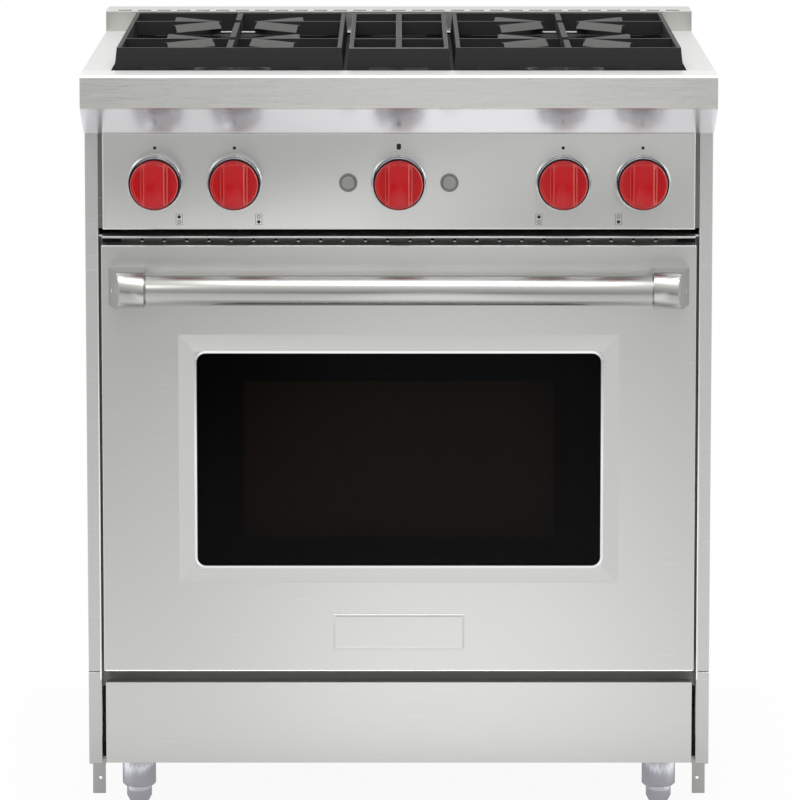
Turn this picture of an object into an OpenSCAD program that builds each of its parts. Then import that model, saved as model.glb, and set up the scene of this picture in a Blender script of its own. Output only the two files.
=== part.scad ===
// Freestanding gas range, 30 inch class: four sealed burners over a convection oven.
// Origin at the middle of the footprint on the floor, front towards -Y, +Z up, millimetres.

/* [Overall] */
// Width across the side panels
range_w = 759; // [720:1:800]
// Depth from the bullnose to the back
range_d = 721; // [700:1:760]
// Height of the cooktop surface above the floor
top_h = 914; // [905:1:930]
// Thickness of the folded sheet steel
sheet = 2; // [1.5:0.1:2.5]
// Radial clearance of a running fit
fit = 0.05; // [0.03:0.01:0.08]
// Gap between pieces that move past each other
free_gap = 0.3; // [0.3:0.05:0.6]

/* [Front steps] */
// How far the control panel and door stand behind the bullnose
nose_d = 82; // [70:1:95]
// Height of the upright bullnose face
nose_face_h = 39; // [30:1:48]
// Full height of the bullnose, down to its lower back edge
nose_h = 77; // [65:1:85]
// Flat strip of cooktop in front of the burner recess
front_strip = 64; // [50:1:70]
// How far the side flanges stand behind the door face
flange_back = 18; // [12:1:24]
// Width of each side flange
flange_w = 16; // [12:1:20]
// Gap between the door and each side flange
door_side_gap = 4; // [3:0.5:6]

/* [Control panel] */
// Height of the control panel face
panel_h = 117; // [110:1:124]
// Height of the knob axes above the panel's lower edge
knob_rise = 57; // [50:1:62]
// Distance from the middle to each inner knob
knob_inner_x = 198; // [180:1:210]
// Distance from the middle to each outer knob
knob_outer_x = 294; // [280:1:305]
// Diameter of a knob
knob_dia = 62; // [52:1:66]
// Depth of a knob from its back to the front of its grip
knob_depth = 26; // [22:1:34]
// Width of the grip bar across a knob
grip_w = 22; // [16:1:28]
// Diameter of the ring behind a knob
bezel_dia = 68; // [66:1:76]
// Diameter of a knob stem
stem_dia = 8; // [6:0.5:10]
// Diameter of the plunger in a valve
plunger_dia = 14; // [12:0.5:16]
// How far a burner knob pushes in
push_travel = 4; // [2:0.5:5]
// Distance from the middle to each push button
button_x = 61; // [55:1:70]
// Diameter of a push button
button_dia = 16; // [12:0.5:18]
// Diameter of the ring around a push button
button_ring_dia = 22; // [20:0.5:26]
// How far a button pushes in
button_travel = 2.5; // [1.5:0.5:3]

/* [Door] */
// Height of the vent gap between the control panel and the door
vent_h = 19; // [16:1:24]
// Height of the oven door
door_h = 523; // [505:1:530]
// Thickness of the door without its raised window frame
door_t = 44; // [40:1:48]
// Height of the hinge axis above the door's lower edge
hinge_rise = 18; // [16:1:22]
// Distance of the hinge axis behind the door face
hinge_back = 22; // [20:1:24]
// Diameter of the hinge pins
hinge_pin = 8; // [6:0.5:10]
// Width of the window glass opening
glass_w = 489; // [430:1:510]
// Height of the window glass opening
glass_h = 260; // [220:1:275]
// Corner radius of the window glass opening
glass_r = 10.5; // [6:0.5:14]
// Height of the window's middle above the door's lower edge
window_rise = 262; // [255:1:268]
// Slope width of the raised window frame
bevel_run = 20; // [16:1:24]
// How far the window frame stands out of the door
bevel_rise = 7; // [5:0.5:9]
// Width of the clear inner window
view_w = 376; // [330:1:400]
// Height of the clear inner window
view_h = 192; // [160:1:205]
// Thickness of the window glass panes
pane_t = 4; // [3:0.5:5]
// Width of the bare badge plate
badge_w = 161; // [120:1:180]
// Height of the bare badge plate
badge_h = 42.7; // [36:0.1:46]
// Height of the badge's middle above the door's lower edge
badge_rise = 49; // [44:1:54]

/* [Handle] */
// Diameter of the handle bar
bar_dia = 37; // [30:0.5:40]
// Height of the handle posts
post_h = 45; // [42:0.5:50]
// How far the handle stands out of the door
handle_out = 66; // [62:1:74]
// Distance from the door's upper edge down to the handle axis
handle_drop = 49.5; // [45:0.5:60]
// Distance from the middle to the inner side of each post
post_inner_x = 306; // [290:1:310]
// Width of a post at its front
post_front_w = 31; // [26:1:34]
// Width of a post where it meets the door
post_base_w = 45; // [38:1:48]

/* [Base] */
// Gap between the door and the kick panel
kick_gap = 14; // [12:1:20]
// Height of the kick panel
kick_h = 100; // [90:1:105]
// How far the side panels reach below the kick panel
skirt_drop = 5; // [2:1:8]
// Height of the seam in the side flange above its lower end
seam_rise = 114; // [100:1:125]
// Diameter of the leg sleeves
sleeve_dia = 41.3; // [38:0.1:46]
// Height of a foot below its sleeve
foot_h = 20; // [16:1:26]
// Diameter of a foot
foot_dia = 30.8; // [28:0.2:34]
// Diameter of the threaded stem above a foot
foot_stem_dia = 26; // [20:0.5:27]
// How far a foot screws out
foot_travel = 35; // [20:1:38]
// Distance from the middle to each leg
leg_x = 321; // [300:1:330]
// Distance of the front legs behind the bullnose
leg_front = 162; // [150:1:180]
// Distance of the rear legs from the back
leg_rear = 90; // [80:1:120]

/* [Oven] */
// Width of the oven cavity
cavity_w = 635; // [600:1:640]
// Height of the oven cavity
cavity_h = 419; // [400:1:425]
// Depth of the oven cavity
cavity_d = 483; // [460:1:490]
// Height of the oven floor above the door's lower edge
floor_rise = 48; // [44:1:52]
// Depth of the burner box under the oven floor
sump_h = 30; // [26:1:34]
// Thickness of the oven liner
liner_t = 1.5; // [1:0.1:2]
// Thickness of the insulation around the oven
insulation_t = 25; // [15:1:28]
// Gap between the door and the oven's front frame, filled by the gasket
gasket_gap = 8.5; // [7:0.5:10]
// Wire diameter of the racks and their guides
wire = 6; // [5:0.5:7]
// Number of rack levels
levels = 5; // [3:1:5]
// Height between rack levels
level_pitch = 70; // [60:1:72]
// How far a rack slides behind the shut door
rack_travel = 12; // [5:1:14]
// Diameter of the convection fan
fan_dia = 150; // [120:1:170]

/* [Cooktop] */
// Height of the rear trim above the cooktop
trim_h = 26; // [24:1:40]
// Depth of the rear trim
trim_d = 81; // [60:1:85]
// Pitch of the vent slots in the rear trim
slot_pitch = 25.4; // [22:0.1:30]
// Length of a vent slot in the rear trim
slot_len = 17.5; // [12:0.5:20]
// Depth of the shelf that the grates stand on
shelf_drop = 3; // [2:0.5:4]
// Depth of the burner pans below the cooktop
pan_drop = 18; // [14:1:22]
// Height of a grate's top above the cooktop
grate_rise = 26; // [24:1:32]
// Width of the left and right grates
grate_w = 270; // [262:1:272]
// Width of the middle grate
mid_grate_w = 119; // [110:1:122]
// Depth of the grates, front to back
grate_d = 535; // [500:1:540]
// Distance of the grates behind the bullnose
grate_front = 79; // [76:1:84]
// Distance from the middle to the centre of a side grate
grate_x = 204; // [202:1:206]
// Wall of a grate's rim at the top
grate_wall = 5; // [4:0.5:10]
// Outward flare of the grate rim at the bottom
grate_flare = 3; // [2:0.5:5]
// Width of the grate fingers
finger = 7; // [5:0.5:9]
// How far the grates lift off
lift = 120; // [60:5:200]
// Distance of each burner from the nearer end of its grate
burner_inset = 137; // [130:1:145]
// Diameter of a burner cap
cap_dia = 74; // [60:1:84]
// Diameter of a burner base
base_dia = 95; // [88:1:104]

/* [Hidden] */
$fn = 64;

// Overall planes
half_w = range_w / 2;
front_y = -range_d / 2;
back_y = range_d / 2;
panel_y = front_y + nose_d;
flange_y = panel_y + flange_back;
door_back_y = panel_y + door_t;
frame_y = door_back_y + gasket_gap;
deck_under = top_h - sheet;
rear_wall_y = back_y - sheet - 1;

// Heights, from the cooktop down
nose_bottom = top_h - nose_h;
panel_bottom = nose_bottom - panel_h;
knob_z = panel_bottom + knob_rise;
door_top = panel_bottom - vent_h;
door_bottom = door_top - door_h;
kick_top = door_bottom - kick_gap;
kick_bottom = kick_top - kick_h;
side_bottom = kick_bottom - skirt_drop;
seam_z = side_bottom + seam_rise;
hinge_z = door_bottom + hinge_rise;
hinge_y = panel_y + hinge_back;
window_z = door_bottom + window_rise;
handle_z = door_top - handle_drop;
handle_y = panel_y - handle_out + post_h / 2;

// Widths
door_half = half_w - flange_w - door_side_gap;
panel_half = door_half - 2;
cavity_half = cavity_w / 2;

// Oven
floor_z = door_bottom + floor_rise;
ceiling_z = floor_z + cavity_h;
sump_z = floor_z - sump_h;
liner_y = frame_y + sheet;
cavity_back = frame_y + cavity_d;
floor_t = 1.5;
blanket_back = cavity_back + liner_t + insulation_t;
rear_space = rear_wall_y - blanket_back;
motor_len = rear_space * 0.62;
shaft_in = motor_len * 0.45;
frame_low = kick_top - 14;
frame_high = panel_bottom - 8;
fan_z = floor_z + cavity_h / 2;
fan_hole = 14;
shaft_dia = 8;
lamp_dia = 44;
lens_dia = 58;
light_z = ceiling_z - lens_dia / 2 - 5;
light_y = frame_y + cavity_d * 0.45;
gasket_band = 8;

// Hinges: the arm is in the middle of its pocket, between two cheeks
arm_x = 328;
arm_t = 6;
cheek_t = 6;
cheek_gap = 8;
cheek_r = 8;
pocket_half = 25;
pocket_r = 11;
plate_t = 3;

// Knobs, buttons and valves
knob_xs = [-knob_outer_x, -knob_inner_x, 0, knob_inner_x, knob_outer_x];
bezel_t = 6;
knob_back = bezel_t + push_travel + 1;
rim_t = 2;
disc_r = knob_dia / 2 - 2;
grip_h = 9;
grip_slope = 5;
crown_t = 5;
skirt_t = knob_depth - grip_h - crown_t;
valve_y = panel_y + 20;
valve_len = 34;
valve_w = 32;
nose_dia = plunger_dia + 8;
plunger_len = 16;
stem_in = 12;
pipe_dia = 20;
pipe_y = valve_y + valve_len + pipe_dia / 2;
rear_flange = 22;
riser_x = -(half_w - rear_flange - 20);
riser_y = blanket_back + 34;
inlet_z = side_bottom + 85;
inlet_dia = 21.3;
hub_dia = pipe_dia + 8;
hub_len = pipe_dia / 2 + 4;
inlet_hole = inlet_dia + 14;
cable_hole = 22;

// Cooktop
trim_y = back_y - trim_d;
flue_half = 150;
flue_port = 130;
port_low = ceiling_z - 32;
port_high = ceiling_z - 8;
recess_front = front_y + front_strip;
recess_back = trim_y - 10;
recess_half = grate_x + grate_w / 2 + grate_flare + 3;
shelf_z = top_h - shelf_drop;
pan_z = top_h - pan_drop;
grate_y0 = front_y + grate_front;
grate_y1 = grate_y0 + grate_d;
grate_top = top_h + grate_rise;
grate_foot = shelf_z + free_gap;
burner_ys = [grate_y0 + burner_inset, grate_y1 - burner_inset];
burner_r = base_dia / 2;
base_t = 7;
head_h = 14;
cap_h = 5;
slot_count = floor((range_w - 30) / slot_pitch / 2) * 2 + 1;
slot_in = 10;
slot_w = 12;
finger_h = 16;
tip = 22;
arm_h = 9;
arm_lean = 3;
pan_inset = 14;
burner_bore = 14;
burner_neck = 46;

// Base
base_y = panel_y + 22;
base_z = side_bottom + sheet;
base_rail = 30;
leg_ys = [front_y + leg_front, back_y - leg_rear];
sleeve_top = base_z;
stem_up = sleeve_top + 16;

// ---------------------------------------------------------------- shapes
// Cuboid between two corners
module box(a, b) {
    translate(a)
        cube([b[0] - a[0], b[1] - a[1], b[2] - a[2]]);
}

// Round bars along each axis
module bar_x(x0, x1, y, z, d) {
    translate([x0, y, z])
        rotate([0, 90, 0])
            cylinder(h = x1 - x0, d = d);
}

module bar_y(x, y0, y1, z, d) {
    translate([x, y0, z])
        rotate([-90, 0, 0])
            cylinder(h = y1 - y0, d = d);
}

module bar_z(x, y, z0, z1, d) {
    translate([x, y, z0])
        cylinder(h = z1 - z0, d = d);
}

// A piece and its twin on the other side
module pair() {
    children();
    mirror([1, 0, 0])
        children();
}

// Rectangle with round corners
module round_rect(w, h, r) {
    square([w - 2 * r, h], center = true);
    square([w, h - 2 * r], center = true);
    for (x = [-1, 1], y = [-1, 1])
        translate([x * (w / 2 - r), y * (h / 2 - r)])
            circle(r = r);
}

// An outline drawn in X and Z, as a slab from y0 to y1
module upright(y0, y1) {
    translate([0, y1, 0])
        rotate([90, 0, 0])
            linear_extrude(y1 - y0)
                children();
}

// An outline drawn in Y and Z, as a length from x0 to x1
module lengthwise(x0, x1) {
    translate([x0, 0, 0])
        rotate([90, 0, 90])
            linear_extrude(x1 - x0)
                children();
}

// Block whose four sides lean in from the floor to the top
module leaning_block(w, d, h, lean) {
    intersection() {
        lengthwise(-w / 2, w / 2)
            polygon([[-d / 2, 0], [d / 2, 0], [d / 2 - lean, h], [lean - d / 2, h]]);
        upright(-d / 2, d / 2)
            polygon([[-w / 2, 0], [w / 2, 0], [w / 2 - lean, h], [lean - w / 2, h]]);
    }
}

// ---------------------------------------------------------------- body shell
module side_panel() {
    difference() {
        union() {
            box([half_w - sheet, flange_y, side_bottom], [half_w, rear_wall_y, deck_under]);
            box([half_w - flange_w, flange_y, side_bottom],
                [half_w, flange_y + sheet, deck_under]);
            box([half_w - flange_w, flange_y, side_bottom],
                [half_w - flange_w + sheet, flange_y + 14, deck_under]);
            box([half_w - rear_flange, rear_wall_y - sheet, side_bottom],
                [half_w, rear_wall_y, deck_under]);
            box([half_w - rear_flange, flange_y + 20, side_bottom],
                [half_w, rear_wall_y, side_bottom + sheet]);
        }
        // seam between the panel and its lower skirt
        box([half_w - 0.8, flange_y - 1, seam_z], [half_w + 1, rear_wall_y + 1, seam_z + 1.2]);
        box([half_w - flange_w - 1, flange_y - 1, seam_z],
            [half_w + 1, flange_y + 0.8, seam_z + 1.2]);
    }
}

module left_side_panel() {
    color("silver")
        mirror([1, 0, 0])
            side_panel();
}

module right_side_panel() {
    color("silver")
        side_panel();
}

module back_panel() {
    color("gray") {
        difference() {
            box([-half_w, rear_wall_y, side_bottom], [half_w, rear_wall_y + sheet, deck_under]);
            for (x = [-1, 1], k = [0 : 7])
                translate([x * 170, 0, seam_z + 80 + k * 18])
                    box([-70, rear_wall_y - 1, 0], [70, rear_wall_y + sheet + 1, 6]);
            bar_y(riser_x, rear_wall_y - 1, rear_wall_y + sheet + 1, inlet_z, inlet_hole);
            bar_y(-riser_x, rear_wall_y - 1, rear_wall_y + sheet + 1, inlet_z, cable_hole);
        }
        // flue duct from the back of the oven up to the rear trim
        difference() {
            box([-flue_half, blanket_back, ceiling_z - 40], [flue_half, rear_wall_y, deck_under]);
            box([-flue_half + sheet, blanket_back + sheet, ceiling_z - 40 + sheet],
                [flue_half - sheet, rear_wall_y - sheet, deck_under + 1]);
            box([-flue_port, blanket_back - 1, port_low],
                [flue_port, blanket_back + sheet + 1, port_high]);
        }
    }
}

module base_frame() {
    inner = half_w - rear_flange;
    color("dimgray")
        difference() {
            union() {
                difference() {
                    box([-inner, base_y, base_z], [inner, rear_wall_y - sheet, base_z + base_rail]);
                    box([-inner + sheet, base_y + sheet, base_z - 1],
                        [inner - sheet, rear_wall_y - 2 * sheet, base_z + base_rail + 1]);
                }
                for (y = leg_ys)
                    box([-half_w + sheet, y - 45, base_z], [half_w - sheet, y + 45, base_z + 4]);
            }
            for (x = [-1, 1], y = leg_ys)
                bar_z(x * leg_x, y, base_z - 1, base_z + 6, foot_stem_dia + 2);
        }
}

module leg_sleeve() {
    chamfer = 3;
    difference() {
        rotate_extrude()
            polygon([[0, foot_h], [sleeve_dia / 2 - chamfer, foot_h],
                [sleeve_dia / 2, foot_h + chamfer], [sleeve_dia / 2, sleeve_top],
                [0, sleeve_top]]);
        translate([0, 0, foot_h - 1])
            cylinder(h = sleeve_top, d = foot_stem_dia + 2 * fit);
    }
}

module leg_sleeves() {
    color("gainsboro")
        for (x = [-1, 1], y = leg_ys)
            translate([x * leg_x, y, 0])
                leg_sleeve();
}

module kick_panel() {
    color("silver")
        difference() {
            box([-panel_half, panel_y, kick_bottom], [panel_half, base_y, kick_top]);
            box([-panel_half + sheet, panel_y + sheet, kick_bottom + sheet],
                [panel_half - sheet, base_y + 1, kick_top - sheet]);
        }
}

module kick_bracket() {
    y = front_y + 180;
    x0 = half_w - flange_w;
    low = 5;
    difference() {
        union() {
            box([x0, y, low], [half_w, y + sheet, side_bottom]);
            box([half_w - sheet, y, low], [half_w, y + 26, side_bottom]);
            box([x0, y, side_bottom - sheet], [half_w, y + 26, side_bottom]);
            upright(y + sheet, y + 2 * sheet)
                polygon([[x0 + 2, side_bottom - 24], [x0 + 2, side_bottom],
                    [x0 - 6, side_bottom]]);
        }
        bar_y(half_w - 9.5, y - 1, y + sheet + 1, low + 19.6, 4);
    }
}

module kick_brackets() {
    color("silver")
        pair()
            kick_bracket();
}

// ---------------------------------------------------------------- cooktop
module cooktop_frame() {
    color("silver")
        difference() {
            union() {
                box([-half_w, recess_front, deck_under], [half_w, back_y, top_h]);
                box([-recess_half - sheet, recess_front, shelf_z - sheet],
                    [recess_half + sheet, recess_back, deck_under]);
                pair()
                    pan_block(sheet);
            }
            box([-recess_half, recess_front + sheet, shelf_z],
                [recess_half, recess_back - sheet, top_h + 1]);
            pair()
                pan_block(0);
            for (x = [-1, 1], y = burner_ys)
                bar_z(x * grate_x, y, pan_z - sheet - 1, pan_z + 1, burner_neck + 4);
            // way out of the flue under the rear trim
            box([-flue_port, trim_y + 10, deck_under - 1], [flue_port, back_y - 12, top_h + 1]);
        }
}

// One sunk burner pan, grown by a wall all round
module pan_block(wall) {
    half = grate_w / 2 - pan_inset + wall;
    box([grate_x - half, grate_y0 + pan_inset - wall, pan_z - wall],
        [grate_x + half, grate_y1 - pan_inset + wall, shelf_z + (wall > 0 ? -1 : 1)]);
}

// Outer section of the bullnose; its tail rests on the control panel
module nose_outline() {
    r = 4;
    face_low = top_h - nose_face_h;
    translate([front_y + r, top_h - r])
        circle(r = r);
    polygon([[front_y, face_low], [panel_y, nose_bottom], [flange_y, nose_bottom],
        [flange_y, deck_under], [recess_front, deck_under], [recess_front, top_h],
        [front_y + r, top_h], [front_y + r, top_h - r], [front_y, top_h - r]]);
}

// Hollow of the bullnose, open towards the back
module nose_hollow() {
    face_low = top_h - nose_face_h + sheet;
    polygon([[front_y + sheet, face_low], [panel_y, nose_bottom + sheet],
        [flange_y + 1, nose_bottom + sheet], [flange_y + 1, deck_under + 1],
        [recess_front, deck_under + 1], [recess_front, deck_under],
        [front_y + sheet + 2, deck_under], [front_y + sheet, deck_under - 2]]);
}

module bullnose() {
    color("silver")
        difference() {
            lengthwise(-half_w, half_w)
                nose_outline();
            lengthwise(-half_w + sheet, half_w - sheet)
                nose_hollow();
        }
}

module island_trim() {
    color("silver")
        difference() {
            box([-half_w, trim_y, top_h], [half_w, back_y, top_h + trim_h]);
            box([-half_w + sheet, trim_y + sheet, top_h - 1],
                [half_w - sheet, back_y - sheet, top_h + trim_h - sheet]);
            for (k = [-(slot_count - 1) / 2 : (slot_count - 1) / 2])
                translate([k * slot_pitch, 0, 0])
                    box([-slot_len / 2, trim_y + slot_in, top_h + trim_h - sheet - 1],
                        [slot_len / 2, trim_y + slot_in + slot_w, top_h + trim_h + 1]);
        }
}

module burner_base() {
    union() {
        difference() {
            cylinder(h = base_t, d = base_dia);
            translate([0, 0, 2])
                cylinder(h = base_t, d = base_dia - 12);
            translate([0, 0, -1])
                cylinder(h = base_t, d = burner_bore);
        }
        difference() {
            translate([0, 0, -32])
                cylinder(h = 32, d = burner_neck);
            translate([0, 0, -28])
                cylinder(h = 40, d = burner_bore);
        }
    }
}

module burner_bases() {
    color("darkgray")
        for (x = [-1, 1], y = burner_ys)
            translate([x * grate_x, y, pan_z])
                burner_base();
}

module burner_head() {
    ports = 36;
    difference() {
        union() {
            cylinder(h = head_h, d = cap_dia - 4);
            translate([0, 0, -base_t + 2])
                cylinder(h = base_t, d = base_dia - 12.2);
        }
        translate([0, 0, -base_t])
            cylinder(h = base_t + head_h - 2, d = cap_dia - 18);
        translate([0, 0, -base_t])
            cylinder(h = base_t + head_h + 2, d = cap_dia - 34);
        for (k = [0 : ports - 1])
            rotate([0, 0, k * 360 / ports])
                translate([cap_dia / 2 - 12, -0.75, head_h - 7])
                    cube([14, 1.5, 5]);
    }
}

module burner_heads() {
    color("dimgray")
        for (x = [-1, 1], y = burner_ys)
            translate([x * grate_x, y, pan_z + base_t])
                burner_head();
}

module burner_caps() {
    color("black")
        for (x = [-1, 1], y = burner_ys)
            translate([x * grate_x, y, pan_z + base_t + head_h])
                rotate_extrude()
                    polygon([[0, 0], [cap_dia / 2 - 1, 0], [cap_dia / 2, 1],
                        [cap_dia / 2, cap_h - 2], [cap_dia / 2 - 3, cap_h], [0, cap_h]]);
}

module igniters() {
    color("ivory")
        for (x = [-1, 1], y = burner_ys)
            translate([x * grate_x, y - burner_r - 4, pan_z]) {
                cylinder(h = 14, d = 6);
                cylinder(h = 19, d = 2);
            }
    // spark module on the inside of the back panel
    color("black")
        box([190, rear_wall_y - 34, ceiling_z + 50], [270, rear_wall_y, ceiling_z + 100]);
}

// ---------------------------------------------------------------- grates
// Hollow rim that flares towards its foot, with a notch in each apron
module grate_rim(w) {
    h = grate_top - grate_foot;
    d = grate_d - 2 * grate_flare;
    translate([0, (grate_y0 + grate_y1) / 2, grate_foot])
        difference() {
            leaning_block(w + 2 * grate_flare, d + 2 * grate_flare, h, grate_flare);
            translate([0, 0, -1])
                linear_extrude(h + 2)
                    square([w - 2 * grate_wall, d - 2 * grate_wall], center = true);
            box([-w / 2 + 24, -d, -1], [w / 2 - 24, d, 5.5]);
            box([-w, -d / 2 + 24, -1], [w, d / 2 - 24, 5.5]);
        }
}

// One finger towards a burner, with two swept arms
module arrow_finger(reach) {
    arm = 84;
    foot_half = finger / 2 + arm_lean - 1;
    top_half = finger / 2 - 1;
    box([tip, -finger / 2, grate_top - finger_h], [reach, finger / 2, grate_top]);
    for (a = [-50, 50])
        translate([tip + 3, 0, grate_top - arm_h])
            rotate([0, 0, a])
                lengthwise(0, arm)
                    polygon([[-foot_half, 0], [foot_half, 0], [top_half, arm_h],
                        [-top_half, arm_h]]);
    bar_z(tip + 3, 0, grate_top - finger_h, grate_top, finger);
}

module side_grate() {
    reach = grate_w / 2 - grate_wall / 2;
    mid_y = (burner_ys[0] + burner_ys[1]) / 2;
    union() {
        grate_rim(grate_w);
        for (y = burner_ys)
            translate([0, y, 0])
                for (a = [0, 180])
                    rotate([0, 0, a])
                        arrow_finger(reach);
        box([-finger / 2, grate_y0 + grate_wall, grate_top - finger_h],
            [finger / 2, burner_ys[0] - tip, grate_top]);
        box([-finger / 2, burner_ys[0] + tip, grate_top - finger_h],
            [finger / 2, burner_ys[1] - tip, grate_top]);
        box([-finger / 2, burner_ys[1] + tip, grate_top - finger_h],
            [finger / 2, grate_y1 - grate_wall, grate_top]);
        box([-reach, mid_y - finger / 2, grate_foot + 3],
            [reach, mid_y + finger / 2, grate_top - 11]);
        for (y = [burner_ys[0] - tip, burner_ys[0] + tip, burner_ys[1] - tip,
                burner_ys[1] + tip])
            bar_z(0, y, grate_top - finger_h, grate_top, finger);
    }
}

module left_grate() {
    color("#2b2b2b")
        translate([-grate_x, 0, 0])
            side_grate();
}

module right_grate() {
    color("#2b2b2b")
        translate([grate_x, 0, 0])
            side_grate();
}

module middle_grate() {
    color("#2b2b2b")
        union() {
            grate_rim(mid_grate_w);
            box([-finger / 2, grate_y0 + grate_wall, grate_top - finger_h],
                [finger / 2, grate_y1 - grate_wall, grate_top]);
            for (y = burner_ys)
                box([-mid_grate_w / 2 + 4, y - finger / 2, grate_top - finger_h],
                    [mid_grate_w / 2 - 4, y + finger / 2, grate_top]);
        }
}

// ---------------------------------------------------------------- control panel
module control_panel() {
    depth = flange_back + sheet;
    color("silver")
        difference() {
            union() {
                box([-panel_half, panel_y, panel_bottom],
                    [panel_half, panel_y + depth, nose_bottom]);
                // strips that close the gap to the side flanges
                pair()
                    box([panel_half - 1, flange_y, panel_bottom],
                        [half_w - flange_w - free_gap, panel_y + depth, nose_bottom]);
            }
            box([-panel_half + sheet, panel_y + sheet, panel_bottom + sheet],
                [panel_half - sheet, panel_y + depth + 1, nose_bottom - sheet]);
            for (x = knob_xs)
                bar_y(x, panel_y - 1, panel_y + sheet + 1, knob_z, stem_dia + 4);
            for (x = [-1, 1])
                bar_y(x * button_x, panel_y - 1, panel_y + sheet + 1, knob_z, button_dia + 4);
        }
}

module panel_bezels() {
    color("gainsboro") {
        for (x = knob_xs)
            translate([x, panel_y, knob_z])
                rotate([90, 0, 0])
                    rotate_extrude()
                        polygon([[stem_dia / 2 + 3, 0], [bezel_dia / 2, 0],
                            [bezel_dia / 2, bezel_t - 3], [bezel_dia / 2 - 2, bezel_t],
                            [knob_dia / 2 - 3, bezel_t], [knob_dia / 2 - 5, bezel_t - 2],
                            [stem_dia / 2 + 3, bezel_t - 2]]);
        for (x = [-1, 1])
            translate([x * button_x, panel_y, knob_z])
                rotate([90, 0, 0])
                    difference() {
                        union() {
                            cylinder(h = 2, d = button_ring_dia);
                            translate([0, 0, -16])
                                cylinder(h = 17, d = button_dia + 4);
                        }
                        translate([0, 0, -14])
                            cylinder(h = 18, d = button_dia + 2 * fit);
                    }
    }
}

module push_button(x) {
    translate([x, panel_y, knob_z])
        rotate([90, 0, 0])
            translate([0, 0, -14 + button_travel + free_gap])
                rotate_extrude()
                    polygon([[0, 0], [button_dia / 2, 0],
                        [button_dia / 2, 17 - button_travel],
                        [button_dia / 2 - 1, 18 - button_travel], [0, 18 - button_travel]]);
}

module light_button() {
    color("darkgray")
        push_button(-button_x);
}

module fan_button() {
    color("darkgray")
        push_button(button_x);
}

// Knob: round body, raised grip bar and the stem behind it
module knob(x) {
    body_h = knob_depth - grip_h;
    translate([x, panel_y - knob_back, knob_z])
        rotate([90, 0, 0])
            union() {
                rotate_extrude()
                    polygon([[0, 0], [knob_dia / 2 - 0.5, 0], [knob_dia / 2, 0.5],
                        [knob_dia / 2, skirt_t], [disc_r, skirt_t], [disc_r, body_h - rim_t],
                        [disc_r - rim_t, body_h], [0, body_h]]);
                intersection() {
                    rotate_extrude()
                        polygon([[0, body_h - 1], [disc_r - rim_t, body_h - 1],
                            [disc_r - rim_t, knob_depth - 2],
                            [disc_r - rim_t - 2, knob_depth], [0, knob_depth]]);
                    translate([0, knob_dia / 2, 0])
                        rotate([90, 0, 0])
                            linear_extrude(knob_dia)
                                polygon([[-grip_w / 2 - grip_slope, 0], [grip_w / 2 + grip_slope, 0],
                                    [grip_w / 2 + grip_slope, body_h],
                                    [grip_w / 2, knob_depth], [-grip_w / 2, knob_depth],
                                    [-grip_w / 2 - grip_slope, body_h]]);
                }
                translate([0, 0, -(knob_back + valve_y - panel_y + stem_in)])
                    cylinder(h = knob_back + valve_y - panel_y + stem_in + 1, d = stem_dia);
            }
}

module knob_outer_left() {
    color("firebrick")
        knob(-knob_outer_x);
}

module knob_inner_left() {
    color("firebrick")
        knob(-knob_inner_x);
}

module oven_knob() {
    color("firebrick")
        knob(0);
}

module knob_inner_right() {
    color("firebrick")
        knob(knob_inner_x);
}

module knob_outer_right() {
    color("firebrick")
        knob(knob_outer_x);
}

// Valve plunger: a sleeve that slides in the valve's nose and carries the knob's stem
module plunger(x) {
    difference() {
        bar_y(x, valve_y - 4, valve_y - 4 + plunger_len, knob_z, plunger_dia);
        bar_y(x, valve_y - 5, valve_y + plunger_len, knob_z, stem_dia + 2 * fit);
    }
}

module plunger_outer_left() {
    color("goldenrod")
        plunger(-knob_outer_x);
}

module plunger_inner_left() {
    color("goldenrod")
        plunger(-knob_inner_x);
}

module plunger_inner_right() {
    color("goldenrod")
        plunger(knob_inner_x);
}

module plunger_outer_right() {
    color("goldenrod")
        plunger(knob_outer_x);
}

// Valve bodies on the gas pipe; the middle one is the oven thermostat
module burner_valves() {
    bore_len = plunger_len + push_travel + 2;
    color("goldenrod")
        for (x = knob_xs)
            difference() {
                union() {
                    box([x - valve_w / 2, valve_y + 4, knob_z - valve_w / 2],
                        [x + valve_w / 2, valve_y + valve_len, knob_z + valve_w / 2]);
                    bar_y(x, panel_y + sheet, valve_y + 5, knob_z, nose_dia);
                }
                if (x == 0) {
                    bar_y(x, panel_y, valve_y + bore_len, knob_z, stem_dia + 2 * fit);
                } else {
                    bar_y(x, panel_y, valve_y + bore_len, knob_z, plunger_dia + 2 * fit);
                }
            }
}

module gas_manifold() {
    end_x = -riser_x;
    color("silver") {
        difference() {
            union() {
                bar_x(riser_x, end_x, pipe_y, knob_z, pipe_dia);
                bar_y(riser_x, pipe_y, riser_y, knob_z, pipe_dia);
                bar_z(riser_x, riser_y, inlet_z, knob_z, pipe_dia);
                for (p = [[pipe_y, knob_z], [riser_y, knob_z], [riser_y, inlet_z]])
                    translate([riser_x, p[0], p[1]])
                        sphere(d = pipe_dia + 4);
                box([riser_x - 25, riser_y - 22, inlet_z + 60],
                    [riser_x + 25, riser_y + 22, inlet_z + 120]);
                bar_y(riser_x, riser_y, riser_y + hub_len, inlet_z, hub_dia);
                bar_y(riser_x, riser_y, back_y, inlet_z, inlet_dia);
            }
            bar_y(riser_x, riser_y, back_y + 1, inlet_z, 14);
        }
        // supply tubes from the pipe to each burner
        for (x = [-1, 1], y = burner_ys)
            gas_tube(x, y);
    }
}

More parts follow.
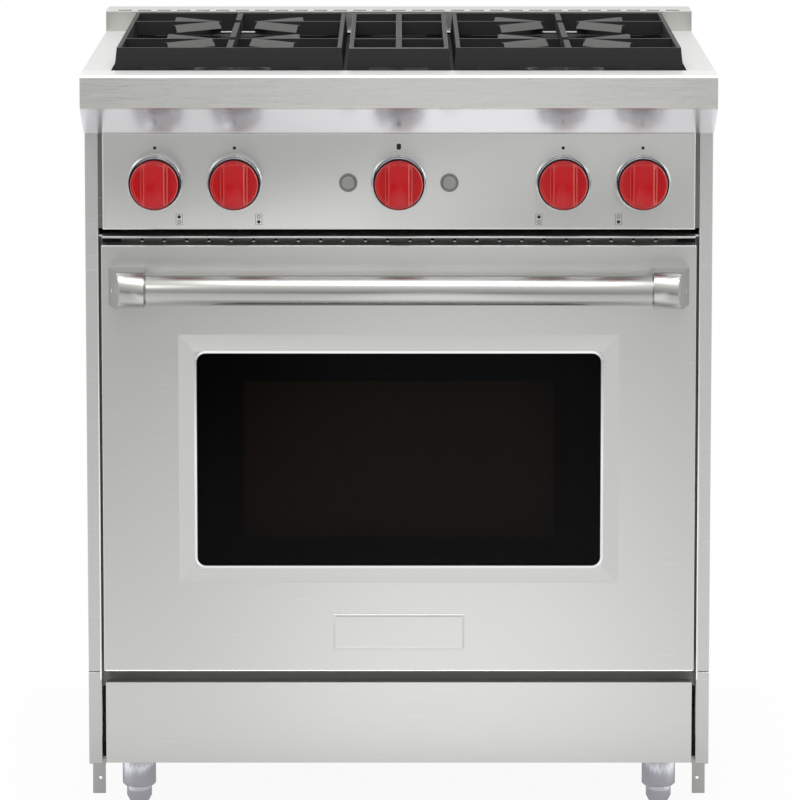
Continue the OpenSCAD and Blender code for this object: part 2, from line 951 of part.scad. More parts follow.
module gas_tube(side, y) {
    x = side * (y < 0 ? knob_outer_x : knob_inner_x);
    z = pan_z - 36;
    tube = 8;
    bar_z(x, pipe_y, knob_z + pipe_dia / 2 - 1, z, tube);
    bar_y(x, pipe_y, y, z, tube);
    bar_x(min(x, side * grate_x), max(x, side * grate_x), y, z, tube);
    for (p = [[x, pipe_y], [x, y], [side * grate_x, y]])
        translate([p[0], p[1], z])
            sphere(d = tube);
}

// ---------------------------------------------------------------- vent, frame and oven
module vent_trim() {
    lip_t = 2.5;
    lip_z = frame_high - lip_t;
    half = half_w - flange_w;
    band_y = flange_y - 6;
    pitch = 27;
    bridge = 3.6;
    slot = pitch - bridge;
    n = floor((2 * panel_half - 30) / pitch / 2);
    color("silver")
        difference() {
            union() {
                box([-half, panel_y, lip_z], [half, frame_y, lip_z + lip_t]);
                box([-half, band_y, door_top + 2.5], [half, band_y + sheet, lip_z + 0.5]);
            }
            for (k = [-n : n])
                translate([k * pitch, 0, 0])
                    box([-slot / 2, band_y - 1, door_top],
                        [slot / 2, band_y + sheet + 1, lip_z]);
            // notches round the flange returns
            pair()
                box([panel_half + 1, panel_y - 1, door_top], [half + 1, flange_y, lip_z + 4]);
        }
}

module hinge_cheek(x) {
    difference() {
        union() {
            box([x, hinge_y, hinge_z - cheek_r], [x + cheek_t, frame_y - plate_t, hinge_z + cheek_r]);
            bar_x(x, x + cheek_t, hinge_y, hinge_z, 2 * cheek_r);
        }
        bar_x(x - 1, x + cheek_t + 1, hinge_y, hinge_z, hinge_pin + 2 * fit);
    }
}

module oven_front_frame() {
    inner_x = arm_x - arm_t / 2 - cheek_gap - cheek_t;
    outer_x = arm_x + arm_t / 2 + cheek_gap;
    plate_low = kick_top - 4;
    plate_high = hinge_z + cheek_r + 3;
    color("gray")
        union() {
            difference() {
                box([-half_w + sheet, frame_y, frame_low], [half_w - sheet, liner_y, frame_high]);
                box([-cavity_half, frame_y - 1, floor_z], [cavity_half, liner_y + 1, ceiling_z]);
            }
            pair() {
                box([arm_x - 23, frame_y - plate_t, plate_low],
                    [arm_x + 23, frame_y, plate_high]);
                hinge_cheek(inner_x);
                hinge_cheek(outer_x);
                translate([arm_x, frame_y - plate_t, plate_low + 13])
                    rotate([90, 0, 0])
                        cylinder(h = 2, d = 10);
            }
        }
}

module oven_liner() {
    color("#39424c")
        difference() {
            box([-cavity_half - liner_t, liner_y, sump_z - liner_t],
                [cavity_half + liner_t, cavity_back + liner_t, ceiling_z + liner_t]);
            difference() {
                box([-cavity_half, liner_y - 1, sump_z], [cavity_half, cavity_back, ceiling_z]);
                // ledges that carry the oven floor
                pair()
                    box([cavity_half - 12, liner_y - 2, floor_z - floor_t - 2],
                        [cavity_half + 1, cavity_back + 1, floor_z - floor_t]);
            }
            bar_y(0, cavity_back - 1, cavity_back + liner_t + 1, fan_z, fan_hole);
            box([-flue_port, cavity_back - 1, port_low],
                [flue_port, cavity_back + liner_t + 1, port_high]);
            pair()
                bar_x(cavity_half - 1, cavity_half + liner_t + 1, light_y, light_z, lamp_dia + 2);
        }
}

module insulation() {
    x0 = cavity_half + liner_t;
    color("wheat")
        difference() {
            box([-x0 - insulation_t, liner_y, sump_z - liner_t - insulation_t],
                [x0 + insulation_t, blanket_back, ceiling_z + liner_t + insulation_t]);
            box([-x0, liner_y - 1, sump_z - liner_t],
                [x0, cavity_back + liner_t, ceiling_z + liner_t]);
            bar_y(0, cavity_back, blanket_back + 1, fan_z, 30);
            box([-flue_port, cavity_back, port_low],
                [flue_port, blanket_back + 1, port_high]);
            pair()
                bar_x(x0 - 1, x0 + insulation_t + 1, light_y, light_z, lamp_dia + 2);
        }
}

// Height of the wire centre of a rack level
function level_z(k) = floor_z + 70 + k * level_pitch;

module rack_guides() {
    wall_x = cavity_half - wire / 2;
    rail_x = wall_x - wire * 5 / 6;
    y0 = liner_y + 20;
    y1 = cavity_back - 40;
    color("gainsboro")
        pair()
            union() {
                for (y = [y0 + 30, y1 - 30])
                    bar_z(wall_x, y, level_z(0) - 25, level_z(levels - 1) + 25, wire);
                for (k = [0 : levels - 1])
                    bar_y(rail_x, y0, y1, level_z(k), wire);
            }
}

// Wire rack; its side rails run on the guides
module rack(k) {
    guide_x = cavity_half - wire / 2 - wire * 5 / 6;
    side_in = wire / 2;
    side_x = guide_x - side_in;
    drop = sqrt(pow(wire + free_gap, 2) - pow(side_in, 2));
    z = level_z(k) + drop;
    y0 = frame_y + rack_travel + 12;
    y1 = y0 + cavity_d - 75;
    n = 16;
    color("gainsboro")
        union() {
            pair()
                bar_y(side_x, y0, y1, z, wire);
            for (y = [y0, y1, (y0 + y1) / 2])
                bar_x(-side_x, side_x, y, z, wire);
            for (x = [-1, 1], y = [y0, y1])
                translate([x * side_x, y, z])
                    sphere(d = wire);
            for (i = [1 : n - 1])
                bar_y(-side_x + i * 2 * side_x / n, y0, y1, z + 3.5, 4);
        }
}

module upper_rack() {
    rack(3);
}

module lower_rack() {
    rack(1);
}

module oven_floor() {
    slots = 12;
    color("#39424c")
        difference() {
            box([-cavity_half + 1, liner_y + 0.5, floor_z - floor_t],
                [cavity_half - 1, cavity_back - 1, floor_z]);
            for (x = [-1, 1], k = [0 : slots - 1])
                translate([x * (cavity_half - 32), liner_y + 40 + k * 32, 0])
                    box([-5, 0, floor_z - floor_t - 1], [5, 20, floor_z + 1]);
        }
}

module bake_burner() {
    tube = 20;
    z = sump_z + 4 + tube / 2;
    y0 = liner_y + 70;
    y1 = cavity_back - 60;
    x = 140;
    color("silver")
        union() {
            pair()
                bar_y(x, y0, y1, z, tube);
            bar_x(-x, x, y1, z, tube);
            bar_y(0, y1, cavity_back - 2, z, tube);
            pair()
                translate([x, y1, z])
                    sphere(d = tube);
            pair() {
                box([x - 14, y0 + 20, sump_z], [x + 14, y0 + 34, z - 2]);
                box([x - 14, y1 - 40, sump_z], [x + 14, y1 - 26, z - 2]);
            }
        }
}

module broil_burner() {
    half = 160;
    h = 22;
    y0 = liner_y + 90;
    y1 = cavity_back - 101;
    color("silver")
        difference() {
            union() {
                box([-half, y0, ceiling_z - 8 - h], [half, y1, ceiling_z - 8]);
                for (x = [-1, 1], y = [y0 + 20, y1 - 40])
                    box([x * 110 - 15, y, ceiling_z - 9], [x * 110 + 15, y + 20, ceiling_z]);
            }
            for (i = [-3 : 3])
                translate([i * 42, 0, 0])
                    box([-17, y0 + 14, ceiling_z - 9 - h], [17, y1 - 14, ceiling_z - 5 - h]);
        }
}

module oven_lights() {
    color("white")
        pair()
            union() {
                bar_x(cavity_half - 8, cavity_half, light_y, light_z, lens_dia);
                bar_x(cavity_half - 1, cavity_half + liner_t + insulation_t + 6,
                    light_y, light_z, lamp_dia);
            }
}

module fan_baffle() {
    half = 170;
    h = 150;
    depth = 34;
    y0 = cavity_back - depth;
    color("#39424c")
        difference() {
            box([-half, y0, fan_z - h], [half, cavity_back, fan_z + h]);
            box([-half + liner_t, y0 + liner_t, fan_z - h + liner_t],
                [half - liner_t, cavity_back + 1, fan_z + h - liner_t]);
            for (k = [-5 : 5])
                translate([0, 0, fan_z + k * 12])
                    box([-sqrt(72 * 72 - pow(k * 12, 2)), y0 - 1, -3],
                        [sqrt(72 * 72 - pow(k * 12, 2)), y0 + liner_t + 1, 3]);
            for (x = [-1, 1], k = [-4 : 4])
                translate([x * half, y0 + 18, fan_z + k * 28])
                    cube([6, 14, 18], center = true);
        }
}

module convection_fan() {
    blades = 10;
    hub = 34;
    y0 = cavity_back - 26;
    color("gainsboro")
        union() {
            bar_y(0, y0 + 16, y0 + 18, fan_z, fan_dia);
            bar_y(0, y0, y0 + 17, fan_z, hub);
            bar_y(0, y0, blanket_back + shaft_in, fan_z, shaft_dia);
            for (k = [0 : blades - 1])
                translate([0, 0, fan_z])
                    rotate([0, k * 360 / blades, 0])
                        box([hub / 2 - 2, y0, -0.8], [fan_dia / 2 - 2, y0 + 17, 0.8]);
        }
}

module fan_motor() {
    y0 = blanket_back;
    color("gray")
        difference() {
            union() {
                box([-60, y0, fan_z - 45], [60, y0 + 3, fan_z + 45]);
                bar_y(0, y0 + 2, y0 + motor_len, fan_z, 76);
            }
            bar_y(0, y0 - 1, y0 + shaft_in + 2, fan_z, shaft_dia + 2 * fit);
        }
}

module door_gasket() {
    w = cavity_w + 4;
    h = cavity_h + 4;
    color("#333333")
        translate([0, 0, fan_z])
            upright(door_back_y + free_gap, frame_y)
                difference() {
                    round_rect(w + 2 * gasket_band, h + 2 * gasket_band, 14);
                    round_rect(w, h, 6);
                }
}

module junction_box() {
    x0 = half_w - rear_flange - 70;
    x1 = half_w - rear_flange;
    y0 = rear_wall_y - 50;
    low = inlet_z - 35;
    high = sump_z - liner_t - insulation_t - 2.5;
    color("gray")
        difference() {
            box([x0, y0, low], [x1, rear_wall_y, high]);
            box([x0 + sheet, y0 + sheet, low + sheet],
                [x1 - sheet, rear_wall_y - sheet, high - sheet]);
            bar_y(-riser_x, rear_wall_y - sheet - 1, rear_wall_y + 1, inlet_z, cable_hole);
        }
}

// ---------------------------------------------------------------- door
// Room in the door's lower back corners for the hinges
module hinge_pocket(wall) {
    box([arm_x - pocket_half - wall, hinge_y - pocket_r - wall, door_bottom - 1],
        [arm_x + pocket_half + wall, door_back_y + 1, hinge_z + pocket_r + wall]);
}

// Raised window frame as a solid block on the door face
module window_block() {
    translate([0, panel_y, window_z])
        rotate([90, 0, 0])
            leaning_block(glass_w + 5 + 2 * bevel_run, glass_h + 5 + 2 * bevel_run,
                bevel_rise, bevel_run);
}

module door_skin() {
    color("silver")
        difference() {
            union() {
                box([-door_half, panel_y, door_bottom], [door_half, door_back_y - 6, door_top]);
                window_block();
            }
            box([-door_half + sheet, panel_y + sheet, door_bottom + sheet],
                [door_half - sheet, door_back_y, door_top - sheet]);
            translate([0, sheet + 0.1, 0])
                window_block();
            translate([0, 0, window_z])
                upright(panel_y - bevel_rise - 1, panel_y + sheet + 1)
                    round_rect(glass_w, glass_h, glass_r);
            pair()
                hinge_pocket(0);
        }
}

module door_glass() {
    y0 = panel_y - bevel_rise + sheet + 0.1;
    color("#101214")
        translate([0, 0, window_z])
            upright(y0, y0 + pane_t)
                round_rect(glass_w + 4, glass_h + 4, glass_r + 2);
}

module door_liner() {
    plug_y = door_back_y - 6;
    color("#39424c")
        difference() {
            union() {
                difference() {
                    box([-door_half + sheet, panel_y + sheet, door_bottom + sheet],
                        [door_half - sheet, door_back_y, door_top - sheet]);
                    box([-door_half + sheet + liner_t, panel_y + sheet - 1,
                            door_bottom + sheet + liner_t],
                        [door_half - sheet - liner_t, door_back_y - liner_t,
                            door_top - sheet - liner_t]);
                }
                pair()
                    intersection() {
                        hinge_pocket(liner_t);
                        box([0, panel_y + sheet, door_bottom + sheet],
                            [door_half, door_back_y, door_top]);
                    }
                // frame that holds the inner window pane
                translate([0, 0, window_z])
                    upright(plug_y - pane_t, door_back_y)
                        round_rect(view_w + 24, view_h + 24, 8);
            }
            translate([0, 0, window_z]) {
                upright(plug_y - pane_t - 1, door_back_y + 1)
                    round_rect(view_w, view_h, 5);
                upright(plug_y - pane_t - 1, plug_y)
                    round_rect(view_w + 16, view_h + 16, 5);
            }
            pair() {
                hinge_pocket(0);
                arm_block();
            }
        }
}

module inner_glass() {
    plug_y = door_back_y - 6;
    color("#2a2017")
        translate([0, 0, window_z])
            upright(plug_y - pane_t, plug_y)
                round_rect(view_w + 15.8, view_h + 15.8, 5);
}

// Straight part of a hinge arm, fixed to the back of the door
module arm_block() {
    box([arm_x - arm_t / 2, hinge_y - 6, hinge_z],
        [arm_x + arm_t / 2, door_back_y - liner_t, hinge_z + 120]);
}

module hinge_arms() {
    reach = arm_t / 2 + cheek_gap + cheek_t;
    color("gray")
        pair()
            union() {
                arm_block();
                bar_x(arm_x - arm_t / 2, arm_x + arm_t / 2, hinge_y, hinge_z, 14);
                bar_x(arm_x - reach - 1, arm_x + reach + 1, hinge_y, hinge_z, hinge_pin);
            }
}

module handle_bar() {
    into_post = 12;
    half = post_inner_x + into_post;
    color("silver")
        difference() {
            bar_x(-half, half, handle_y, handle_z, bar_dia);
            bar_x(-half - 1, half + 1, handle_y, handle_z, bar_dia - 5);
        }
}

module handle_post() {
    outer_front = post_inner_x + post_front_w;
    outer_base = post_inner_x + post_base_w;
    front = panel_y - handle_out;
    difference() {
        intersection() {
            union() {
                box([post_inner_x, handle_y, handle_z - post_h / 2],
                    [outer_base, panel_y, handle_z + post_h / 2]);
                bar_x(post_inner_x, outer_base, handle_y, handle_z, post_h);
            }
            translate([0, 0, handle_z - post_h])
                linear_extrude(2 * post_h)
                    polygon([[post_inner_x, front - 1], [outer_front - 3, front - 1],
                        [outer_front, front + 6], [outer_base, panel_y],
                        [post_inner_x, panel_y]]);
        }
        bar_x(post_inner_x - 1, post_inner_x + 12, handle_y, handle_z, bar_dia);
        // recess for the set screw
        bar_x(outer_base - 12, outer_base + 1, panel_y - 20, handle_z - 3, 6);
    }
}

module handle_posts() {
    color("silver")
        pair()
            handle_post();
}

module badge_plate() {
    border = 3;
    color("lightgray")
        translate([0, 0, door_bottom + badge_rise])
            difference() {
                upright(panel_y - 1.8, panel_y)
                    round_rect(badge_w, badge_h, 2);
                upright(panel_y - 3, panel_y - 1)
                    round_rect(badge_w - 2 * border, badge_h - 2 * border, 1);
            }
}

// ---------------------------------------------------------------- feet
module foot(sx, y) {
    translate([sx * leg_x, y, 0])
        rotate_extrude()
            polygon([[0, 0], [foot_dia / 2 - 4, 0], [foot_dia / 2, 7.5],
                [foot_dia / 2, foot_h - free_gap],
                [foot_stem_dia / 2, foot_h - free_gap], [foot_stem_dia / 2, stem_up],
                [0, stem_up]]);
}

module foot_front_left() {
    color("silver")
        foot(-1, leg_ys[0]);
}

module foot_front_right() {
    color("silver")
        foot(1, leg_ys[0]);
}

module foot_rear_left() {
    color("silver")
        foot(-1, leg_ys[1]);
}

module foot_rear_right() {
    color("silver")
        foot(1, leg_ys[1]);
}

left_side_panel();
right_side_panel();
back_panel();
base_frame();
leg_sleeves();
cooktop_frame();
bullnose();
island_trim();
control_panel();
panel_bezels();
vent_trim();
kick_panel();
kick_brackets();
oven_front_frame();
oven_liner();
insulation();
rack_guides();
fan_baffle();
fan_motor();
oven_floor();
bake_burner();
broil_burner();
oven_lights();
gas_manifold();
burner_valves();
burner_bases();
burner_heads();
burner_caps();
igniters();
door_gasket();
junction_box();
door_skin();
door_glass();
inner_glass();
door_liner();
handle_bar();
handle_posts();
badge_plate();
hinge_arms();
knob_outer_left();
knob_inner_left();
oven_knob();
knob_inner_right();
knob_outer_right();
plunger_outer_left();
plunger_inner_left();
plunger_inner_right();
plunger_outer_right();
light_button();
fan_button();
left_grate();
middle_grate();
right_grate();
foot_front_left();
foot_front_right();
foot_rear_left();
foot_rear_right();
convection_fan();
upper_rack();
lower_rack();
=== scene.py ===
# %% [markdown]
# # A freestanding gas range, step by step
# This range is a stainless steel cooker, 30 inches wide, with four sealed gas burners over an
# oven. Its real sizes and joints come from an engineering model, which loads first as a fixed
# frame. Each cell then gives one surface its finish or adds one piece that the frame lacks.

import math

import bmesh
import bpy
from mathutils import Matrix, Vector


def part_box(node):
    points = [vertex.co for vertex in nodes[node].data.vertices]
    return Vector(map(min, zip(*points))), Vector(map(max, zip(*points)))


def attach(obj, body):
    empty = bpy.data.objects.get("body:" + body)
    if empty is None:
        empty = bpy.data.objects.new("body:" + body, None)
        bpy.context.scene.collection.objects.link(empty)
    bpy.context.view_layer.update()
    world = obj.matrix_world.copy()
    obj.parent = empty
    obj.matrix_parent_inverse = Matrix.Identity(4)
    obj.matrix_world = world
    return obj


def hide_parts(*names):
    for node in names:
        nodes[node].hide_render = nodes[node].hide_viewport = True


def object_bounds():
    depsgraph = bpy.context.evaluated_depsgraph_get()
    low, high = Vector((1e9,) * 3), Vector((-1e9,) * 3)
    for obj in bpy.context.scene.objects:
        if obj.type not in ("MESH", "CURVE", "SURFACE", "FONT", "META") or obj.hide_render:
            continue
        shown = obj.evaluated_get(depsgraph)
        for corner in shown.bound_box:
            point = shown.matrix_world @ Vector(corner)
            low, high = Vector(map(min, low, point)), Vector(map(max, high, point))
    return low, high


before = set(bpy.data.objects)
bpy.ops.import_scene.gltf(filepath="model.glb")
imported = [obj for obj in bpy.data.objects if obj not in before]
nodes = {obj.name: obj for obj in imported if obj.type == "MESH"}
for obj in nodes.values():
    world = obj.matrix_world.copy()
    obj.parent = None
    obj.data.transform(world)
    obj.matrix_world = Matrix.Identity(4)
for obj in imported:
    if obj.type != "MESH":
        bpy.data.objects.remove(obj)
cad_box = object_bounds()

# %% [markdown]
# ## Key places on the range
# Every later piece is placed from the boxes of the engineering parts, never from guessed
# numbers, so the looks follow the parts when a size changes. Sizes are in metres.

# %% Read the places that several cells need
MM = 0.001
panel_low, panel_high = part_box("control_panel")
door_low, door_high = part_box("door_skin")
glass_low, glass_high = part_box("door_glass")
view_low, view_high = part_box("inner_glass")
knob_low, knob_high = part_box("oven_knob")
nose_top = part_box("bullnose")[1].z
deck_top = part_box("cooktop_frame")[1].z
face_y = panel_low.y
knob_z = (knob_low.z + knob_high.z) / 2
print("control panel face at", round(face_y, 4), "knob axes at", round(knob_z, 4))

# %% [markdown]
# ## The camera
# A range is drawn from a little above, far away, with a long lens, so that its front stays
# almost square. A closer camera with a wide lens would show more of the cooktop but would
# splay the sides. The camera stands seven metres away and looks down by about eight degrees.

# %% Place the camera
distance, eye_height, look_down = 7.26, 1.5333, 8.32
camera = bpy.data.objects.new("camera", bpy.data.cameras.new("camera"))
bpy.context.scene.collection.objects.link(camera)
camera.location = (0.8 * MM, -distance, eye_height)
camera.rotation_euler = (math.radians(90 - look_down), 0.0, 0.0)
camera.data.sensor_width = 36
camera.data.lens = 262.0
camera.data.clip_end = 100
bpy.context.scene.camera = camera
bpy.context.scene.view_settings.view_transform = "Standard"
print("camera", distance, "metres away, looks down", look_down, "degrees")

# %% [markdown]
# ## Colours and nodes
# Paint charts give colours as sRGB hex values, while shaders work in linear light, so one
# function turns one into the other. A second function adds a shader node. Its inputs are
# numbers, colours or other nodes, in the order of its sockets or by name, and its settings
# follow. Each line of a recipe is then one node, which can be found again in the node editor.

# %% Colour and node helpers
SMOOTH = {"interpolation_type": "SMOOTHSTEP"}
COLOURS = {"data_type": "RGBA"}


def linear(hex_colour):
    parts = [int(hex_colour[i:i + 2], 16) / 255 for i in (1, 3, 5)]
    return [c / 12.92 if c <= 0.04045 else ((c + 0.055) / 1.055) ** 2.4 for c in parts] + [1.0]


def add(tree, kind, inputs=(), **settings):
    """Adds a node. An input is a value, a socket, or a node that gives its first output."""
    node = tree.nodes.new("ShaderNode" + kind)
    for name, value in settings.items():
        setattr(node, name, value)
    for name, value in inputs.items() if isinstance(inputs, dict) else enumerate(inputs):
        if isinstance(value, bpy.types.Node):
            value = next(out for out in value.outputs if out.enabled)
        if isinstance(value, bpy.types.NodeSocket):
            tree.links.new(value, node.inputs[name])
        else:
            node.inputs[name].default_value = value
    return node


print("steel grey in linear light", [round(c, 3) for c in linear("#c8c8c6")])

# %% [markdown]
# A material is a tree of nodes that ends in one output. These two helpers start a tree and
# link its shader to the output. A third gives the place of a point on the range in metres, so
# that a finish can begin and end where the real one does.

# %% Start and finish a material
def start_material(name):
    material = bpy.data.materials.new(name)
    material.use_nodes = True
    tree = material.node_tree
    tree.nodes.clear()
    return material, tree


def finish_material(tree, shader):
    """Links a shader to the one output; a second call swaps the shader."""
    ends = [n for n in tree.nodes if n.bl_idname == "ShaderNodeOutputMaterial"]
    end = ends[0] if ends else add(tree, "OutputMaterial")
    tree.links.new(shader.outputs[0], end.inputs["Surface"])


def place_on_range(tree):
    return add(tree, "SeparateXYZ", (add(tree, "TexCoord").outputs["Object"],)).outputs


print("material helpers ready")

# %% [markdown]
# ## The studio
# Steel shows what stands round it, so the studio matters as much as the metal. The room is
# white behind the range and over it, and grey in front of it, where the camera's end of a
# studio is dark. Brushed panels pick up that grey and upward edges pick up the white. The
# steel would look flat in an all-white room.

# %% World: a white room with a grey end
world = bpy.data.worlds.new("studio room")
bpy.context.scene.world = world
world.use_nodes = True
room = world.node_tree
room.nodes.clear()
white, grey = linear("#ffffff"), linear("#cacac8")
direction = add(room, "SeparateXYZ", (add(room, "TexCoord").outputs["Generated"],)).outputs
towards_back = add(room, "MapRange", (direction["Y"], -0.6, 0.1, 0.0, 1.0), **SMOOTH)
overhead = add(room, "MapRange", (direction["Z"], 0.2, 0.58, 0.0, 1.0), **SMOOTH)
lightness = add(room, "Math", (towards_back, overhead), operation="MAXIMUM")
grey_end = add(room, "Mix", {"Factor": lightness, "A": grey, "B": white}, **COLOURS)
ray = add(room, "LightPath").outputs
mirrored = add(room, "Math", (ray["Is Glossy Ray"], ray["Is Transmission Ray"]),
               operation="MAXIMUM")
on_matt = linear("#c0c0c0")
colour = add(room, "Mix", {"Factor": mirrored, "A": on_matt, "B": grey_end}, **COLOURS)
colour = add(room, "Mix", {"Factor": ray["Is Camera Ray"], "A": colour, "B": white}, **COLOURS)
background = add(room, "Background", {"Color": colour, "Strength": 1.0})
add(room, "OutputWorld", {"Surface": background})
print("the room has", len(room.nodes), "nodes")

# %% [markdown]
# The floor is a pale seamless sheet of paper, a hair below the feet. It belongs to the studio
# and not to the range.

# %% Floor sheet
floor_mesh = bpy.data.meshes.new("floor")
sheet = bmesh.new()
floor_half = 30
bmesh.ops.create_grid(sheet, x_segments=1, y_segments=1, size=floor_half)
sheet.to_mesh(floor_mesh)
sheet.free()
floor = bpy.data.objects.new("floor", floor_mesh)
bpy.context.scene.collection.objects.link(floor)
floor.location.z = -0.5 * MM
print("floor", 2 * floor_half, "metres wide")

# %% [markdown]
# Steel shows the sheet as a bright patch near the range that fades with distance, with a shade
# right beside the range. Towards the sides the patch gets dimmer too. The tall flat front
# shows every height of the sheet at once, so this fading gives it its long soft gradient.
# Each ramp below reads: between these two distances in metres, from this share to that one.

# %% How bright the paper looks in steel
floor_paper, tree = start_material("matt white studio paper")
half_wide, half_deep = cad_box[1].x, cad_box[1].y
spot = add(tree, "SeparateXYZ", (add(tree, "NewGeometry").outputs["Position"],)).outputs
from_middle = add(tree, "Math", (spot["X"],), operation="ABSOLUTE")
beside = add(tree, "Math", (from_middle, half_wide), operation="SUBTRACT")
in_depth = add(tree, "Math", (spot["Y"],), operation="ABSOLUTE")
before = add(tree, "Math", (in_depth, half_deep), operation="SUBTRACT")
away = add(tree, "Math", (beside, before), operation="MAXIMUM")

widening = add(tree, "Math", (before, 1 / 7, 1.0), operation="MULTIPLY_ADD")
across = add(tree, "Math", (spot["X"], widening), operation="DIVIDE")
off_centre = add(tree, "Math", (across, 0.07), operation="SUBTRACT")
sideways = add(tree, "Math", (off_centre,), operation="ABSOLUTE")

loss = add(tree, "MapRange", (sideways, 0.05, 0.38, 0.0, 1.0), **SMOOTH)
for place, low, high, at_low, at_high in ((before, 0.0, 0.6, 0.0, 1.0),
                                          (before, 1.6, 4.4, 0.32, 0.95),
                                          (beside, 1.1, 1.9, 1.0, 0.45)):
    factor = add(tree, "MapRange", (place, low, high, at_low, at_high), **SMOOTH)
    loss = add(tree, "Math", (loss, factor), operation="MULTIPLY")

in_steel = add(tree, "Math", (1.0, loss), operation="SUBTRACT")
for low, high, at_low, at_high in ((0.7, 4.4, 1.3, 0.74), (-0.05, 0.38, 0.3, 1.0)):
    factor = add(tree, "MapRange", (away, low, high, at_low, at_high), **SMOOTH)
    in_steel = add(tree, "Math", (in_steel, factor), operation="MULTIPLY")
print("the paper glows over", len(tree.nodes), "nodes")

# %% [markdown]
# A camera sees such a sheet almost pure white. Only a small part of it stays an ordinary matt
# surface, most of it close to the range, and that part carries the soft shadow.

# %% Floor paper
ray = add(tree, "LightPath").outputs
mirrored = add(tree, "Math", (ray["Is Glossy Ray"], ray["Is Transmission Ray"]),
               operation="MAXIMUM")
white_share = add(tree, "MapRange", (away, -0.1, 0.3, 0.94, 1.0), **SMOOTH)
plainly_seen = add(tree, "Math", (white_share, ray["Is Camera Ray"]), operation="MULTIPLY")
share = add(tree, "Math", (plainly_seen, mirrored), operation="MAXIMUM")
strength = add(tree, "Mix", {"Factor": mirrored, "A": 1.0, "B": in_steel}, data_type="FLOAT")
paper = add(tree, "BsdfDiffuse", {"Color": linear("#e6e6e6")})
glow = add(tree, "Emission", {"Color": white, "Strength": strength})
finish_material(tree, add(tree, "MixShader", (share, paper, glow)))
floor.data.materials.append(floor_paper)
print("floor ready")

# %% [markdown]
# Three soft boxes light the range: a large one overhead, a wide one at the front left and a
# narrow one at the right, which draws thin bright lines along the knobs' rounded edges. They
# are big, because a small lamp would burn a hard white spot into every panel.

# %% Lamps
def soft_box(name, place, target, width, height, watts):
    lamp = bpy.data.lights.new(name, "AREA")
    lamp.shape = "RECTANGLE"
    lamp.size, lamp.size_y, lamp.energy = width, height, watts
    holder = bpy.data.objects.new(name, lamp)
    bpy.context.scene.collection.objects.link(holder)
    holder.location = place
    holder.rotation_euler = (Vector(target) - Vector(place)).to_track_quat("-Z", "Y").to_euler()


soft_box("overhead box", (0.0, -1.1, 3.2), (0.0, -0.5, 0.9), 2.6, 2.2, 56)
soft_box("front left box", (-3.0, -3.0, 2.6), (0.0, -0.2, 0.6), 1.4, 1.4, 16)
soft_box("right strip", (2.9, -2.0, 1.5), (0.0, -0.3, 0.8), 0.35, 1.6, 8)
print(len(bpy.data.lights), "lamps")

# %% [markdown]
# ## Brushed stainless steel
# The panels are 304 stainless steel, brushed with a belt in one direction. The belt leaves
# fine parallel scratches, so reflections are smeared. Real scratches are about 0.1 mm apart,
# which would be too fine to see, so they are drawn 0.9 mm apart, with longer and rarer bright
# streaks on top of them. Stretched noise is the simplest honest picture of both. A share of
# plain diffuse light is mixed in for sheets that lie flat, where dust and fine wear scatter it.

# %% Brushed steel
def brushed_steel(name, colour, grain_mm, roughness, spread, metal=1.0, smear=0.6):
    """Stainless steel with its scratches along X; grain_mm is their length and spacing."""
    material, tree = start_material(name)
    place = add(tree, "TexCoord").outputs["Object"]
    along, across = grain_mm
    scale = Vector((1 / along, 1 / across, 1 / across)) / MM
    lines = add(tree, "Mapping", {"Vector": place, "Scale": scale})
    scratches = add(tree, "TexNoise", {"Vector": lines, "Scale": 1.0, "Detail": 3.0,
                                       "Roughness": 0.6})
    long_lines = add(tree, "Mapping", {"Vector": place, "Scale": scale * 0.5})
    streaks = add(tree, "TexNoise", {"Vector": long_lines, "Scale": 1.0, "Detail": 1.0})
    bright = add(tree, "MapRange", (streaks, 0.7, 0.8, 0.0, 0.3), **SMOOTH)
    base = add(tree, "Mix", {"Factor": bright, "A": linear(colour), "B": linear("#f6f6f6")},
               **COLOURS)
    matt = add(tree, "MapRange", (scratches, 0.3, 0.7, roughness - spread, roughness + spread))
    relief = add(tree, "Bump", {"Height": scratches, "Strength": 0.05, "Distance": 0.1 * MM})
    tangent = add(tree, "Tangent", direction_type="RADIAL", axis="X")
    steel = add(tree, "BsdfPrincipled", {"Base Color": base, "Metallic": metal,
                                         "Roughness": matt, "Anisotropic": smear,
                                         "Normal": relief, "Tangent": tangent})
    finish_material(tree, steel)
    return material, tree, steel


BELT, LONG_BELT, MILL = (22, 0.9), (35, 0.9), (50, 1.2)
panel_steel = brushed_steel("brushed stainless steel panel", "#dcdcda", BELT, 0.3, 0.02)[0]
# the control panel's steel is a lighter copy of the panel steel: painted light that brightens it
lightened_front_steel = brushed_steel("brushed stainless steel front, lightened as painted light", "#e8e8e6", BELT, 0.3, 0.02)[0]
side_steel = brushed_steel("brushed stainless steel side panel", "#d8d8d6", BELT, 0.36, 0.03)[0]
inner_steel = brushed_steel("plain stainless steel sheet", "#b4b4b2", MILL, 0.38, 0.05, 0.5)[0]
# this dark steel is painted shade for the strips in the gaps beside the control panel
shaded_steel = brushed_steel("unbrushed steel strip darkened as painted shade", "#7c7c7b", MILL, 0.4, 0.03)[0]
print("made", panel_steel.name, "and", side_steel.name)

# %% [markdown]
# Some steel is smoother. The handle was polished after brushing, so its scratches are nearly
# gone and it shows the room as clear bands. The nose has both: its upright face is brushed and
# the slope under it is polished, so one material changes finish where the slope begins. Its
# narrow top is dulled by wiping.

